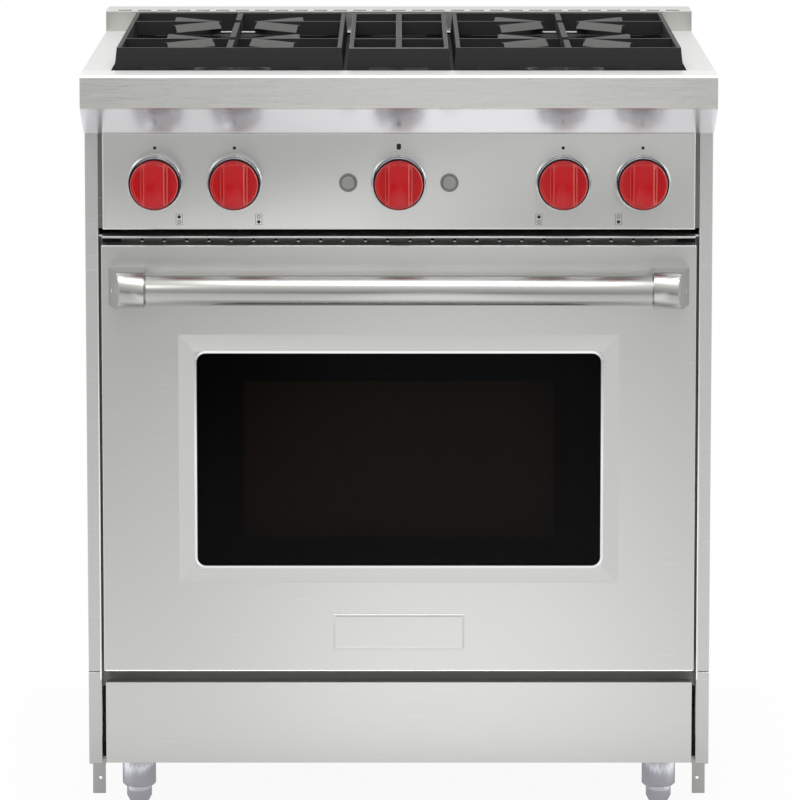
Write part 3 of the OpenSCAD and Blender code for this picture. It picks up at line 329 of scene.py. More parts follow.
# %% Satin handle and the two-finish nose
handle_steel = brushed_steel("satin polished stainless steel", "#bcbcb8", (60, 0.7), 0.25,
                             0.02, 1.0, 0.35)[0]
nose_steel, tree, brushed = brushed_steel("brushed steel with a polished underside", "#ecece9",
                                          LONG_BELT, 0.3, 0.04)
slope_top = nose_top - 40 * MM
height = place_on_range(tree)["Z"]
below = add(tree, "MapRange", (height, slope_top - 1.5 * MM, slope_top - 0.5 * MM, 1.0, 0.0),
            **SMOOTH)
polished = add(tree, "BsdfPrincipled", {"Base Color": linear("#f6f6fb"), "Metallic": 0.9,
                                        "Roughness": 0.22})
both = add(tree, "MixShader", (below, brushed, polished))
worn = add(tree, "BsdfPrincipled", {"Base Color": linear("#dcdcda"), "Metallic": 0.3,
                                    "Roughness": 0.45})
on_top = add(tree, "MapRange", (height, nose_top - 0.4 * MM, nose_top - 0.1 * MM, 0.0, 1.0),
             **SMOOTH)
finish_material(tree, add(tree, "MixShader", (on_top, both, worn)))
print("made", handle_steel.name, "and", nose_steel.name)

# %% [markdown]
# ## Plain metals and enamels
# Many parts have one even finish with a slight mottling: plated and coated steel, castings,
# enamel, ceramic and glass fibre. One recipe serves them all. It takes a dark and a light
# colour, how metallic and how rough the finish is, how far the roughness wanders, the size of
# the grain in millimetres and the depth of its relief.

# %% Recipe for a mottled finish
def mottled(name, dark, light, metallic, roughness, spread, grain_mm, depth, **sockets):
    material, tree = start_material(name)
    place = add(tree, "TexCoord").outputs["Object"]
    cloud = add(tree, "TexNoise", {"Vector": place, "Scale": 1 / (grain_mm * MM), "Detail": 5.0,
                                   "Roughness": 0.6})
    base = add(tree, "Mix", {"Factor": cloud, "A": linear(dark), "B": linear(light)}, **COLOURS)
    matt = add(tree, "MapRange", (cloud, 0.3, 0.7, roughness - spread, roughness + spread))
    relief = add(tree, "Bump", {"Height": cloud, "Strength": 0.5, "Distance": depth * MM})
    inputs = {"Base Color": base, "Metallic": metallic, "Roughness": matt, "Normal": relief}
    inputs.update(sockets)
    finish_material(tree, add(tree, "BsdfPrincipled", inputs))
    return material


print("recipe ready")

# %% [markdown]
# The bare metals differ most in how sharply they mirror. Bright chrome plate shows the lamps,
# satin nickel on the feet only glows, and a zinc coat is dull with cloudy spangle. The cut
# edges of the sheets are buffed after bending, or polished where a hand may touch them. The
# burners are darkened by heat, and the oven's own burners have turned brown.

# %% Plated, buffed and heated metals
chrome = mottled("nickel chrome plate", "#d8d9db", "#e6e7e9", 1.0, 0.08, 0.02, 6, 0.004)
leg_nickel = mottled("satin nickel plate", "#dcdce6", "#e6e6ee", 0.8, 0.2, 0.01, 9, 0.0)
zinc_sheet = mottled("zinc-coated sheet steel", "#9b9fa1", "#b9bcbd", 1.0, 0.42, 0.1, 14, 0.02)
dark_plate = mottled("black phosphated steel", "#2e2e2e", "#4a4a4a", 0.6, 0.45, 0.08, 3, 0.02)
# this buffed edge is partly matt near-white: its own steel tone plus a painted highlight
buffed_edge_and_highlight = mottled("buffed stainless steel edge with a painted highlight", "#d8d8d8", "#e2e2e2", 0.35, 0.25, 0.02, 6,
                      0.001)
mirror_edge = mottled("mirror-polished steel edge", "#f6f6f6", "#fbfbfb", 0.9, 0.08, 0.01, 6,
                      0.0)
burner_metal = mottled("heat-blackened cast aluminium", "#201f1f", "#302e2d", 0.3, 0.55, 0.06,
                       1.2, 0.06)
brass = mottled("forged brass", "#b08d44", "#c9a558", 1.0, 0.3, 0.06, 5, 0.02)
heated_steel = mottled("heat-stained stainless steel", "#7d7163", "#a59c90", 1.0, 0.35, 0.08,
                       25, 0.01)
button_metal = mottled("satin zinc casting", "#a8a8a6", "#bcbcb9", 1.0, 0.38, 0.05, 1.5, 0.02)
print("made", chrome.name, "to", button_metal.name)

# %% [markdown]
# The rest doesn't conduct. Porcelain enamel is glass fused onto steel: matt black on the
# burner caps and glossy blue-black in the oven. The igniters are ceramic, browned by smoke. The
# oven is wrapped in a yellow blanket of glass fibre, and the door seals on a woven rope of it.

# %% Enamel, ceramic and glass fibre
cap_enamel = mottled("black porcelain enamel", "#121212", "#191919", 0.0, 0.6, 0.05, 3, 0.02,
                     **{"Specular IOR Level": 0.06})
oven_enamel = mottled("blue-black porcelain enamel", "#12151a", "#1c2027", 0.0, 0.25, 0.05, 2,
                      0.02)
ceramic = mottled("smoke-darkened ceramic", "#57534c", "#736e65", 0.0, 0.4, 0.05, 2, 0.01)
blanket = mottled("glass-fibre blanket", "#b8a668", "#d9cb97", 0.0, 0.95, 0.04, 8, 1.2)
woven_seal = mottled("woven glass-fibre seal", "#202020", "#3a3a3a", 0.0, 0.85, 0.08, 1.2, 0.3)
print("made", cap_enamel.name, "to", woven_seal.name)

# %% [markdown]
# The rings on the control panel come in two kinds. Those round the knobs are bright chrome; the
# two small ones round the push buttons are blasted with fine glass beads before plating, so
# they stay dull and darker than the panel. One material serves both, told apart by how far to
# the side a ring lies.

# %% Panel rings: bright round the knobs, dull round the buttons
light_low, light_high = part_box("light_button")
button_side = abs(light_low.x + light_high.x) / 2
bezel_metal, tree = start_material("chrome panel rings with two blasted ones")
side = add(tree, "Math", (place_on_range(tree)["X"],), operation="ABSOLUTE")
past_button = add(tree, "Math", (side, button_side), operation="SUBTRACT")
from_button = add(tree, "Math", (past_button,), operation="ABSOLUTE")
near_button = add(tree, "MapRange", (from_button, 13 * MM, 15 * MM, 1.0, 0.0), **SMOOTH)
bright = add(tree, "BsdfPrincipled", {"Base Color": linear("#dfe0e2"), "Metallic": 1.0,
                                      "Roughness": 0.08})
dull = add(tree, "BsdfPrincipled", {"Base Color": linear("#8c8c89"), "Metallic": 0.7,
                                    "Roughness": 0.45})
finish_material(tree, add(tree, "MixShader", (near_button, bright, dull)))
print("buttons lie", round(button_side * 1000, 1), "mm from the middle")

# %% [markdown]
# The grates are cast iron with a matt black enamel. The edges and the sloping flanks of the
# fingers
# get a painted highlight: the colour follows the way each face looks, as if lit from above: flat
# and upright faces stay black, faces that slope get paler. That shows the shape of the casting.

# %% Cast iron, with a painted highlight where it slopes
def between(tree, value, start, full, fade, end):
    """A share that rises from start to full and falls again from fade to end."""
    rise = add(tree, "MapRange", (value, start, full, 0.0, 1.0), **SMOOTH)
    fall = add(tree, "MapRange", (value, fade, end, 1.0, 0.0), **SMOOTH)
    return add(tree, "Math", (rise, fall), operation="MULTIPLY")


iron, tree = start_material("matt enamelled cast iron with painted highlights on slopes")
grit_mm = 1.6
place = add(tree, "TexCoord").outputs["Object"]
cloud = add(tree, "TexNoise", {"Vector": place, "Scale": 1 / (grit_mm * MM), "Detail": 5.0,
                               "Roughness": 0.6})
black, pale = [add(tree, "Mix", {"Factor": cloud, "A": linear(dark), "B": linear(light)},
                   **COLOURS)
               for dark, light in (("#292929", "#363636"), ("#6e6e6d", "#8a8a88"))]
# the paler grey on sloping faces and rounded edges, picked by which way they face, is a painted
# highlight
facing = add(tree, "SeparateXYZ", (add(tree, "NewGeometry").outputs["Normal"],)).outputs
sloping = between(tree, facing["Z"], 0.18, 0.28, 0.75, 0.96)
relief = add(tree, "Bump", {"Height": cloud, "Strength": 0.5, "Distance": 0.03 * MM})
base = add(tree, "Mix", {"Factor": sloping, "A": black, "B": pale}, **COLOURS)
finish_material(tree, add(tree, "BsdfPrincipled", {
    "Base Color": base, "Roughness": 0.5, "Specular IOR Level": 0.1, "Normal": relief}))
print("made", iron.name)

# %% [markdown]
# ## The cooktop
# The deck is one pressed sheet. Its rim is bare steel, while the sunk middle with the burner
# pans is coated with black porcelain enamel, which stands the heat and wipes clean. The
# enamel starts just under the rim, so again height decides which finish shows.

# %% Deck: steel rim, enamelled recess
deck_steel, tree, brushed = brushed_steel("worktop steel with an enamelled recess", "#d2d2d0",
                                          LONG_BELT, 0.42, 0.05, 0.55)
height = place_on_range(tree)["Z"]
sunk = add(tree, "MapRange", (height, deck_top - 0.9 * MM, deck_top - 0.5 * MM, 1.0, 0.0),
           **SMOOTH)
enamel = add(tree, "BsdfPrincipled", {"Base Color": linear("#0b0b0c"), "Roughness": 0.5,
                                      "Specular IOR Level": 0.06})
finish_material(tree, add(tree, "MixShader", (sunk, brushed, enamel)))
print("made", deck_steel.name)

# %% [markdown]
# Flue gas leaves through the slots of the low trim at the back. Their walls are darkened as
# painted shade, limited to a box inside the trim, so its top, back and ends stay clean steel.

# %% Rear trim: steel outside, painted shade in the slots
trim_low, trim_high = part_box("island_trim")
trim_steel, tree, brushed = brushed_steel("trim steel with painted shade in the slots", "#c8c8c4", BELT,
                                          0.3, 0.02)
place = place_on_range(tree)
inside = between(tree, place["Y"], trim_low.y + 4 * MM, trim_low.y + 5 * MM,
                 trim_high.y - 1.5 * MM, trim_high.y - 1.2 * MM)
aside = add(tree, "Math", (place["X"],), operation="ABSOLUTE")
for value, end, start_mm, end_mm in ((place["Z"], trim_high.z, 0.3, 0.1),
                                     (aside, trim_high.x, 1.5, 1.2)):
    limit = add(tree, "MapRange", (value, end - start_mm * MM, end - end_mm * MM, 1.0, 0.0),
                **SMOOTH)
    inside = add(tree, "Math", (inside, limit), operation="MULTIPLY")
# the near-black of the slot walls is painted shade
painted_slot_shade = add(tree, "BsdfPrincipled", {"Base Color": linear("#242220"), "Roughness": 0.7,
                                    "Specular IOR Level": 0.1})
finish_material(tree, add(tree, "MixShader", (inside, brushed, painted_slot_shade)))
print("made", trim_steel.name)

# %% [markdown]
# A row of slots over the door lets cooling air out. Their bridges lie deep in the gap, and the
# shade under the lip is painted on them as near black, except for a bare spot at each foot, so
# the row reads as one dark band with a thin steel lip above it.

# %% Vent: bare lip over a row of slots in painted shade
vent_low, vent_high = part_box("vent_trim")
vent_steel, tree, brushed = brushed_steel("vent steel with painted shade in the slot row", "#dcdcda",
                                          BELT, 0.3, 0.02)
place = place_on_range(tree)
over_foot = add(tree, "MapRange", (place["Z"], vent_low.z + 1.4 * MM, vent_low.z + 1.8 * MM,
                                   0.0, 1.0), **SMOOTH)
aside = add(tree, "Math", (place["X"],), operation="ABSOLUTE")
past_slots = add(tree, "MapRange", (aside, vent_high.x - 30 * MM, vent_high.x - 29 * MM,
                                    0.0, 1.0), **SMOOTH)
under_lip = add(tree, "MapRange", (place["Z"], vent_high.z - 2.9 * MM, vent_high.z - 2.6 * MM,
                                   1.0, 0.0), **SMOOTH)
painted_shade = add(tree, "Math", (over_foot, past_slots), operation="MAXIMUM")
painted_shade = add(tree, "Math", (painted_shade, under_lip), operation="MULTIPLY")
# near black here is painted shade under the lip, over the bridges and the ends past the slots
black = add(tree, "BsdfPrincipled", {"Base Color": linear("#161616"), "Roughness": 0.7,
                                     "Specular IOR Level": 0.1})
finish_material(tree, add(tree, "MixShader", (painted_shade, brushed, black)))
print("made", vent_steel.name)

# %% [markdown]
# ## Glass
# The door has a tinted outer pane and an inner pane with a brown, heat-reflecting film.
# Through both, the oven shows only as a dark brown rectangle. The glass really lets light
# through a tinted surface, so the racks behind it can be seen when the room is bright. Oven
# panes are coated against glare, so their mirror reflection is kept weak.

# %% Tinted door glass and lamp glass
def tinted_glass(name, colour, roughness, **sockets):
    material, tree = start_material(name)
    inputs = {"Base Color": linear(colour), "Roughness": roughness,
              "Transmission Weight": 1.0, "IOR": 1.5}
    inputs.update(sockets)
    finish_material(tree, add(tree, "BsdfPrincipled", inputs))
    return material


outer_pane = tinted_glass("grey tinted float glass", "#8a8a8d", 0.0, IOR=1.14)
inner_pane = tinted_glass("brown filmed glass", "#6b5136", 0.08, IOR=1.2,
                          **{"Transmission Weight": 0.4})
lamp_glass = tinted_glass("frosted borosilicate glass", "#f0f0ea", 0.35)
frit = mottled("black ceramic frit", "#070708", "#0b0b0d", 0.0, 0.3, 0.03, 2, 0.002,
               **{"Specular IOR Level": 0.1})
print("made 3 glasses and the frit")

# %% [markdown]
# ## Dressing the engineering parts
# Folded sheet and machined parts never have a perfectly sharp edge: each has a small radius
# that catches the light. A bevel modifier gives that radius without touching the stored
# mesh. The parts load with split corners, so a weld modifier joins them first.

# %% Finishes and edge radii of the parts that show
SHARP_CORNER = 35


def dress(names, material, radius_mm=0.0, segments=2):
    for name in names.split():
        part = nodes[name]
        part.data.materials.clear()
        part.data.materials.append(material)
        if radius_mm:
            weld = part.modifiers.new("joined corners", "WELD")
            weld.merge_threshold = 0.01 * MM
            edge = part.modifiers.new("edge radius", "BEVEL")
            edge.width = radius_mm * MM
            edge.segments = segments
            edge.limit_method = "ANGLE"
            edge.angle_limit = math.radians(SHARP_CORNER)
            edge.harden_normals = True
            edge.miter_outer = "MITER_ARC"


dress("left_side_panel right_side_panel kick_brackets", side_steel, 0.7)
dress("vent_trim", vent_steel, 0.7)
dress("kick_panel", panel_steel, 1.1)
dress("island_trim", trim_steel, 0.3)
dress("cooktop_frame", deck_steel, 0.7)
dress("bullnose", nose_steel, 0.9, 3)
dress("door_skin", panel_steel, 1.2, 3)
dress("handle_bar handle_posts", handle_steel, 0.8)
dress("leg_sleeves foot_front_left foot_front_right foot_rear_left foot_rear_right",
      leg_nickel, 0.5)
dress("panel_bezels", bezel_metal, 0.5, 3)
dress("light_button fan_button", button_metal, 0.4, 3)
dress("left_grate middle_grate right_grate", iron, 1.0, 3)
dress("burner_caps", cap_enamel, 0.8, 3)
dress("burner_bases burner_heads", burner_metal, 0.4)
dress("igniters", ceramic, 0.3)
print("dressed what shows from outside")

# %% [markdown]
# The parts inside get their finish too, because the door opens and the grates lift off. Two
# panes, the back sheet, the pipe and the thin wires of the racks keep their own edges.

# %% Finishes inside the oven and behind the panels
dress("back_panel gas_manifold", zinc_sheet)
dress("base_frame junction_box fan_motor", zinc_sheet, 0.5)
dress("oven_front_frame", inner_steel, 0.5)
dress("hinge_arms", dark_plate, 0.5)
dress("oven_liner oven_floor fan_baffle door_liner", oven_enamel, 0.5)
dress("upper_rack lower_rack rack_guides", chrome)
dress("burner_valves plunger_outer_left plunger_inner_left plunger_inner_right "
      "plunger_outer_right", brass, 0.4)
dress("bake_burner broil_burner convection_fan", heated_steel, 0.3)
dress("insulation", blanket, 2.0)
dress("door_glass", outer_pane)
dress("inner_glass", inner_pane)
dress("oven_lights", lamp_glass)
dress("door_gasket", woven_seal, 1.5, 3)
replaced = {"control_panel", "badge_plate", "oven_knob"}
bare = [n for n in nodes if not n.startswith("knob_") and n not in replaced
        and not nodes[n].data.materials]
print("parts still without a finish:", bare)

# %% [markdown]
# ## Helpers for new pieces
# A new piece is a small mesh that rides on one body of the engineering model, so it moves when
# that body moves. Flat plates are drawn as an outline in X and Z and given a thickness in Y.

# %% A mesh becomes a piece
def new_piece(name, mesh_maker, material, body, smooth_angle=40):
    """Turns a bmesh into a piece that rides on a body, with smooth round surfaces."""
    mesh = bpy.data.meshes.new(name)
    mesh_maker.normal_update()
    mesh_maker.to_mesh(mesh)
    mesh_maker.free()
    piece = bpy.data.objects.new(name, mesh)
    bpy.context.scene.collection.objects.link(piece)
    for one in material if isinstance(material, list) else [material]:
        mesh.materials.append(one)
    mesh.shade_smooth()
    mesh.set_sharp_from_angle(angle=math.radians(smooth_angle))
    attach(piece, body)
    return piece


# %% [markdown]
# Most new pieces are lofts: the same outline is drawn several times at different depths, each
# a little larger or smaller, and faces join them. A plate is the shortest loft, with two
# outlines. Curved edges could also come from a bevel, but a loft gives each bend its own size.

# %% Outlines, lofts and plates
def rounded(cx, cz, wide, tall, radius, steps=8):
    """The outline of a rectangle with round corners, as (x, z) points."""
    points = []
    for quarter, (sx, sz) in enumerate(((1, 1), (-1, 1), (-1, -1), (1, -1))):
        for k in range(steps + 1):
            angle = math.pi / 2 * (quarter + k / steps)
            points.append((cx + sx * (wide / 2 - radius) + radius * math.cos(angle),
                           cz + sz * (tall / 2 - radius) + radius * math.sin(angle)))
    return points


def skin_over(work, rings):
    """Faces between rings of corners that have as many corners each."""
    for low, high in zip(rings, rings[1:]):
        for k in range(len(low)):
            n = (k + 1) % len(low)
            work.faces.new((low[k], low[n], high[n], high[k]))


def lofted(outlines, ends=""):
    """One skin over outlines given as (y, points) pairs; ends names which ones to fill."""
    work = bmesh.new()
    rings = [[work.verts.new((x, y, z)) for x, z in points] for y, points in outlines]
    skin_over(work, rings)
    if "first" in ends:
        work.faces.new(rings[0])
    if "last" in ends:
        work.faces.new(rings[-1])
    bmesh.ops.recalc_face_normals(work, faces=work.faces)
    return work


def plate(outline, back, front):
    """A flat plate between two Y planes, closed on both sides."""
    return lofted([(back, outline), (front, outline)], "first last")


print("a test outline has", len(rounded(0, 0, 2, 1, 0.1)), "corners")

# %% [markdown]
# ## The control panel
# The real panel is one folded sheet with a small bend radius along each edge. The engineering
# part has holes for the stems, but every hole is hidden by a ring, so the visible face is
# drawn as a plain sheet. That keeps its shading perfectly even between the knobs.

# %% Folded control panel
panel_half = door_high.x - 2 * MM
panel_wide, panel_tall = 2 * panel_half, panel_high.z - panel_low.z
panel_mid = (panel_high.z + panel_low.z) / 2
bend, corner = 1.6 * MM, 1.7 * MM
outlines = [(panel_high.y, rounded(0, panel_mid, panel_wide, panel_tall, corner, 3))]
for k in range(5):
    turn = math.pi / 2 * k / 4
    inset = bend * (1 - math.cos(turn))
    outlines.append((face_y + bend * (1 - math.sin(turn)), rounded(
        0, panel_mid, panel_wide - 2 * inset, panel_tall - 2 * inset, corner, 3)))
panel = new_piece("control_panel_sheet", lofted(outlines, "last"), lightened_front_steel, "range_body", 50)
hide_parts("control_panel")
print("panel", round(panel_wide, 3), "by", round(panel_tall, 3))

# %% [markdown]
# The panel is a little narrower than the body. At each end a strip of steel, set back from the
# face, closes the gap to the side panel. Its dark grey is painted shade of that gap.

# %% Strips beside the control panel
strip_wide = panel_high.x - panel_half
for side, name in ((-1, "left"), (1, "right")):
    middle = side * (panel_half + panel_high.x) / 2
    strip = plate(rounded(middle, panel_mid, strip_wide, panel_tall, 0.4 * MM, 2),
                  panel_high.y, panel_high.y - 2 * MM)
    piece = new_piece("panel_strip_" + name, strip, shaded_steel, "range_body")
print("strips", round(strip_wide * 1000, 1), "mm wide")

# %% [markdown]
# The side panels fold round to the front as narrow flanges. Their cut edges were buffed smooth
# after bending, and each shows as a thin white line beside the dark gap next to the door.

# %% Buffed edges of the two front flanges
def long_strip(start, end, section):
    """A straight strip whose cross section is a list of (x, y, z) offsets in millimetres."""
    work = bmesh.new()
    ends = [[work.verts.new(Vector(place) + Vector(offset) * MM) for offset in section]
            for place in (start, end)]
    skin_over(work, ends)
    for outline in ends:
        work.faces.new(outline)
    bmesh.ops.recalc_face_normals(work, faces=work.faces)
    return work


flange_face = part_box("right_side_panel")[0].y
foot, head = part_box("kick_panel")[1].z, panel_low.z
for side, name in ((-1, "left"), (1, "right")):
    beside_door = side * vent_high.x
    edge = long_strip((beside_door, flange_face, foot), (beside_door, flange_face, head),
                      ((0, 0.6, 0), (0, -0.7, 0), (side * 0.4, -0.7, 0), (side * 1.9, 0.1, 0),
                       (side * 1.9, 0.6, 0)))
    edge = new_piece("flange_edge_" + name, edge, mirror_edge, "range_body", 15)
print("flange edges", round((head - foot) * 1000), "mm long")

# %% [markdown]
# ## Printed marks
# A dot over each burner knob marks its off position, and a small box beside each knob shows
# which burner it works: two circles, one of them filled. They are screen-printed in dark
# grey ink, about a tenth of a millimetre thick. An image would be quicker, but printed shapes
# stay sharp from every distance.

# %% Ink and the shapes it is printed in
ink = mottled("dark grey screen ink", "#1c1c1c", "#262626", 0.0, 0.6, 0.05, 1, 0.005)
ink_back, ink_front = face_y + 0.02 * MM, face_y - 0.12 * MM


def circle(cx, cz, radius, steps=24):
    return [(cx + radius * math.cos(2 * math.pi * k / steps),
             cz + radius * math.sin(2 * math.pi * k / steps)) for k in range(steps)]


def ring_plate(outer, inner, back, front):
    """A flat ring between two outlines with as many points."""
    work = lofted([(front, inner), (front, outer), (back, outer), (back, inner),
                   (front, inner)])
    bmesh.ops.remove_doubles(work, verts=work.verts, dist=MM / 1000)
    bmesh.ops.recalc_face_normals(work, faces=work.faces)
    return work


print("ink lies", round((face_y - ink_front) * 1000, 2), "mm proud")

# %% [markdown]
# The four marks mirror each other: on the left half each box stands to the right of its knob,
# on the right half to the left. The filled circle is at the back for the outer knobs and at
# the front for the inner ones. The oven knob has only an upright mark over it.

# %% Dots and burner marks
dot_up, box_down, box_aside = 42 * MM, 44.5 * MM, 29 * MM
box_wide, box_tall, line = 7.9 * MM, 13.4 * MM, 0.35 * MM
burner_radius, burner_apart = 2.1 * MM, 3 * MM
marks = {"knob_outer_left": (1, 1), "knob_inner_left": (1, -1), "knob_inner_right": (-1, 1),
         "knob_outer_right": (-1, -1)}
for name, (aside, filled) in marks.items():
    low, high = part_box(name)
    x = (low.x + high.x) / 2
    dot = plate(circle(x, knob_z + dot_up, 2 * MM), ink_back, ink_front)
    new_piece(name + "_dot", dot, ink, "range_body")
    cx, cz = x + aside * box_aside, knob_z - box_down
    box = ring_plate(rounded(cx, cz, box_wide, box_tall, 0.5 * MM, 2),
                     rounded(cx, cz, box_wide - 2 * line, box_tall - 2 * line, 0.3 * MM, 2),
                     ink_back, ink_front)
    new_piece(name + "_mark_box", box, ink, "range_body")
    for place, row in ((1, "back"), (-1, "front")):
        outer = circle(cx, cz + place * burner_apart, burner_radius)
        if place == filled:
            shape = plate(outer, ink_back, ink_front)
        else:
            inner = circle(cx, cz + place * burner_apart, burner_radius - 2 * line)
            shape = ring_plate(outer, inner, ink_back, ink_front)
        new_piece(name + "_mark_" + row, shape, ink, "range_body")
middle = plate(rounded((knob_low.x + knob_high.x) / 2, knob_z + 43.6 * MM, 5.2 * MM, 7.2 * MM,
                       1.6 * MM), ink_back, ink_front)
new_piece("oven_knob_mark", middle, ink, "range_body")
print("printed", 4 * len(marks) + 1, "marks")

# %% [markdown]
# ## The knobs
# Each knob is a red phenolic moulding: a round disc with a tapered grip bar across it. The
# plastic is hard and glossy, with a faint orange peel. The rounded shoulders of the grip get a
# pale painted highlight, stronger on the right side, as from the lamp at the right, so the
# colour follows the way a face looks.

# %% Knob material
def moulded(name, colour, highlight_colour, roughness, grain_mm, **sockets):
    material, tree = start_material(name)
    coordinates = add(tree, "TexCoord").outputs
    skin = add(tree, "TexNoise", {"Vector": coordinates["Object"],
                                  "Scale": 1 / (grain_mm * MM), "Detail": 2.0})
    relief = add(tree, "Bump", {"Height": skin, "Strength": 0.15, "Distance": 0.05 * MM})
    value = add(tree, "MapRange", (skin, 0.0, 1.0, 0.94, 1.06), **SMOOTH)
    tone = add(tree, "HueSaturation", {"Color": linear(colour), "Value": value})
    # a painted highlight: the grip's shoulders turn pale by the way they face, more on the right
    facing = add(tree, "SeparateXYZ", (coordinates["Normal"],)).outputs["X"]
    sideways = add(tree, "Math", (facing,), operation="ABSOLUTE")
    shoulder = between(tree, sideways, 0.3, 0.45, 0.78, 0.92)
    lit_from_right = add(tree, "MapRange", (facing, -0.2, 0.2, 0.3, 0.75), **SMOOTH)
    painted_highlight = add(tree, "Math", (shoulder, lit_from_right), operation="MULTIPLY")
    base = add(tree, "Mix", {"Factor": painted_highlight, "A": tone, "B": linear(highlight_colour)}, **COLOURS)
    inputs = {"Base Color": base, "Roughness": roughness, "Normal": relief}
    inputs.update(sockets)
    finish_material(tree, add(tree, "BsdfPrincipled", inputs))
    return material


red_phenolic = moulded("red moulded phenolic", "#c71018", "#e8706a", 0.2, 0.8,
                       **{"Specular IOR Level": 0.4})
black_phenolic = moulded("black moulded phenolic", "#0d0d0d", "#0d0d0d", 0.5, 0.8,
                         **{"Specular IOR Level": 0.25})
print("made", red_phenolic.name)

# %% [markdown]
# The disc is a solid of revolution, as if it came off a lathe: a profile of radius and height,
# turned round an axis. The spin tool could do that too, but a helper keeps the corners on the
# axis single, so the middle of the face stays smooth.

# %% A profile turned round an axis
def turned(profile, steps):
    """A profile of (radius, height) pairs, from the axis and back to it, turned round Z."""
    work = bmesh.new()
    bottom, *sides, top = profile
    rings = [[work.verts.new((radius * math.cos(2 * math.pi * k / steps),
                              radius * math.sin(2 * math.pi * k / steps), height))
              for k in range(steps)] for radius, height in sides]
    first = work.verts.new((0, 0, bottom[1]))
    last = work.verts.new((0, 0, top[1]))
    for k in range(steps):
        n = (k + 1) % steps
        work.faces.new((first, rings[0][n], rings[0][k]))
        work.faces.new((rings[-1][k], rings[-1][n], last))
    skin_over(work, rings)
    return work


turn_steps = 96
print("a knob is turned in steps of", 360 / turn_steps, "degrees")

# %% [markdown]
# The profile below runs from the axis at the back, round the plated part and the skirt, up the
# side of the disc and over its rounded rim to the slightly sunk face. The skirt is black and
# shows as a thin ring round the red disc, so faces get their finish by height.

# %% The knob's disc and skirt
knob_deep, grip_tall, crown, skirt_deep = 26 * MM, 9 * MM, 5 * MM, 2.5 * MM
skirt_edge, disc_inset, disc_round = 0.4 * MM, 1.9 * MM, 2.6 * MM
disc_top = knob_deep - grip_tall
RED, BLACK, CHROME = 0, 1, 2


def knob_mesh(radius):
    """A knob that looks along +Z, with its back at zero."""
    disc = radius - disc_inset
    skirt_top = disc_top - crown
    skirt_back = skirt_top - skirt_deep
    profile = [(0, 0), (radius - 1.5 * MM, 0), (radius - 0.7 * MM, 0.8 * MM),
               (radius - 0.7 * MM, skirt_back), (radius, skirt_back + 0.2 * MM),
               (radius, skirt_top - skirt_edge), (radius - skirt_edge, skirt_top),
               (disc, skirt_top), (disc, disc_top - disc_round)]
    for k in range(1, 6):
        turn = math.pi / 2 * k / 5
        profile.append((disc - 2.2 * MM * (1 - math.cos(turn)),
                        disc_top - disc_round + disc_round * math.sin(turn)))
    profile += [(disc - 3 * MM, disc_top), (disc - 3.8 * MM, disc_top - 0.9 * MM),
                (0, disc_top - 0.5 * MM)]
    work = turned(profile, turn_steps)
    for face in work.faces:
        height = face.calc_center_median().z
        face.material_index = CHROME if height < skirt_back else (
            BLACK if height < skirt_top + 0.1 * MM else RED)
    return work


print("the disc stands", round(disc_top * 1000, 1), "mm over the panel")

# %% [markdown]
# The grip is a loft that stands on the disc. Its outlines are arcs of circles, so both ends
# follow the round of the disc, and each level is narrower than the one below. Soft moulded
# edges make a knob look real. Each level is a share of the grip's height and an inset in
# millimetres: the first ones spread into a fillet, the last ones round the shoulders.

# %% The grip bar across the disc
foot_wide, ridge_wide = 31 * MM, 25 * MM
grip_levels = [(-0.15, -1.6), (0.0, -1.6), (0.03, -0.9), (0.09, -0.35), (0.18, 0.0),
               (0.75, 0.0), (0.86, 0.3), (0.94, 0.8), (1.0, 1.7)]


def grip_mesh(radius):
    """The tapered bar across a knob: a stack of outlines that follow the disc."""
    work = bmesh.new()
    rings = []
    for share, inset in grip_levels:
        half = (foot_wide + (ridge_wide - foot_wide) * max(share, 0)) / 2 - inset * MM
        reach = radius - disc_inset - (1.2 + 1.6 * max(share, 0) ** 2 + inset) * MM
        corner = math.asin(min(0.99, half / reach))
        angles = [sign * math.pi / 2 + corner * (1 - k / 6) for sign in (1, -1)
                  for k in range(13)]
        rings.append([work.verts.new((reach * math.cos(angle), reach * math.sin(angle),
                                      disc_top + grip_tall * share)) for angle in angles])
    skin_over(work, rings)
    work.faces.new(rings[-1])
    bmesh.ops.recalc_face_normals(work, faces=work.faces)
    return work


print("the grip is", round(ridge_wide * 1000), "mm wide at its ridge")

# %% [markdown]
# Both meshes look up along Z. One matrix turns them to face the front and sets them on the
# shaft, so that all five knobs share one recipe.

# %% Build the five knobs
for name in ("knob_outer_left", "knob_inner_left", "oven_knob", "knob_inner_right",
             "knob_outer_right"):
    low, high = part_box(name)
    radius = (high.x - low.x) / 2
    back = Vector(((low.x + high.x) / 2, low.y + knob_deep, (low.z + high.z) / 2))
    facing = Matrix.Translation(back) @ Matrix.Rotation(math.radians(90), 4, "X")
    disc, grip = knob_mesh(radius), grip_mesh(radius)
    disc.transform(facing)
    grip.transform(facing)
    face = new_piece(name + "_moulding", disc, [red_phenolic, black_phenolic, chrome], name)
    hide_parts(name)
    bar = new_piece(name + "_grip", grip, red_phenolic, name, 30)
print("five knobs, each", round(radius * 2000, 1), "mm across")

# %% [markdown]
# ## The window's black border
# The outer pane has a border of black ceramic frit, fired onto its back. It hides the frame
# behind the glass and leaves a clear window with round corners in the middle.

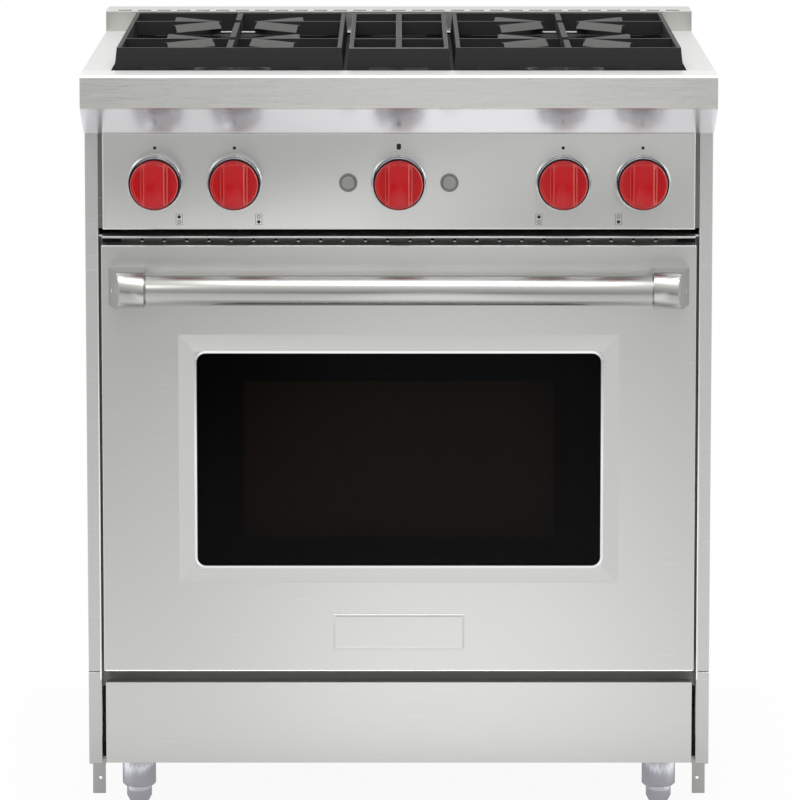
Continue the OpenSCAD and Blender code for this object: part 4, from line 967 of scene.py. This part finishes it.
# %% Frit border behind the outer pane
pane_mid = (glass_low.z + glass_high.z) / 2
pane_wide, pane_tall = glass_high.x - glass_low.x, glass_high.z - glass_low.z
clear_mid = (view_low.z + view_high.z) / 2
clear_wide, clear_tall = 376 * MM, 192 * MM
border = ring_plate(rounded(0, pane_mid, pane_wide - 2 * MM, pane_tall - 2 * MM, 9 * MM),
                    rounded(0, clear_mid, clear_wide, clear_tall, 8 * MM),
                    glass_high.y + 0.25 * MM, glass_high.y + 0.05 * MM)
border = new_piece("window_border", border, frit, "oven_door")
print("border round a window of", round(clear_wide, 3), "by", round(clear_tall, 3))

# %% [markdown]
# The opening in the door has a narrow buffed edge, which shows as a thin white line round the
# glass. Its outer side slopes by only twenty degrees, so on all four sides it mirrors the bright
# room just past the handle and never the grey front.

# %% Buffed edge of the window opening
edge_wide, edge_tall, edge_corner = pane_wide + 1 * MM, pane_tall + 1 * MM, 13 * MM
outlines = []
for deep_mm, inset_mm in ((0.1, -0.8), (-0.9, 1.9), (-0.9, 2.2), (1.5, 2.7)):
    inset = inset_mm * MM
    outlines.append((door_low.y + deep_mm * MM, rounded(
        0, pane_mid, edge_wide - 2 * inset, edge_tall - 2 * inset, edge_corner - inset)))
bead = new_piece("window_edge", lofted(outlines), mirror_edge, "oven_door", 15)
print("buffed edge", round(edge_wide, 3), "by", round(edge_tall, 3))

# %% [markdown]
# ## The door's lower hem
# The door's front sheet is folded over at the bottom. The fold is pressed flat and its rounded
# lip leans back, so it mirrors the ceiling; its near-white, mostly matt colour adds a painted
# highlight, and together they draw a white line over the dark gap.

# %% Folded hem along the bottom of the door
hem_from, hem_to = door_low.x + 1.5 * MM, door_high.x - 1.5 * MM
hem = long_strip((hem_from, face_y, door_low.z), (hem_to, face_y, door_low.z),
                 ((0, 0.4, 0.1), (0, -0.9, 0.2), (0, -0.8, 0.6), (0, 0.0, 1.4), (0, 0.4, 1.4)))
hem = new_piece("door_hem", hem, buffed_edge_and_highlight, "oven_door", 20)
print("hem", round(hem_to - hem_from, 3), "long")

# %% [markdown]
# ## The badge plate
# A small plate sits low on the door. It is drawn blank: a shallow tray with a sloping rim
# 2.4 mm wide, so the upper slope stays dark and the lower one catches the light.

# %% Blank badge plate
badge_low, badge_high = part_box("badge_plate")
bx, bz = (badge_low.x + badge_high.x) / 2, (badge_low.z + badge_high.z) / 2
bw, bh = badge_high.x - badge_low.x, badge_high.z - badge_low.z
front = badge_low.y
tray_floor = front + min(1.0 * MM, (badge_high.y - front) * 0.7)
outlines = [(y, rounded(bx, bz, bw - less_mm * MM, bh - less_mm * MM, corner_mm * MM, 4))
            for y, less_mm, corner_mm in ((badge_high.y, 0, 1.2), (front + 0.3 * MM, 0, 1.2),
                                          (front, 0.6, 1.0), (front, 1.6, 0.9),
                                          (tray_floor, 6.4, 0.6))]
badge = new_piece("badge_tray", lofted(outlines, "last"), panel_steel, "oven_door", 8)
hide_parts("badge_plate")
print("badge plate", round(bw * 1000, 1), "by", round(bh * 1000, 1), "mm")
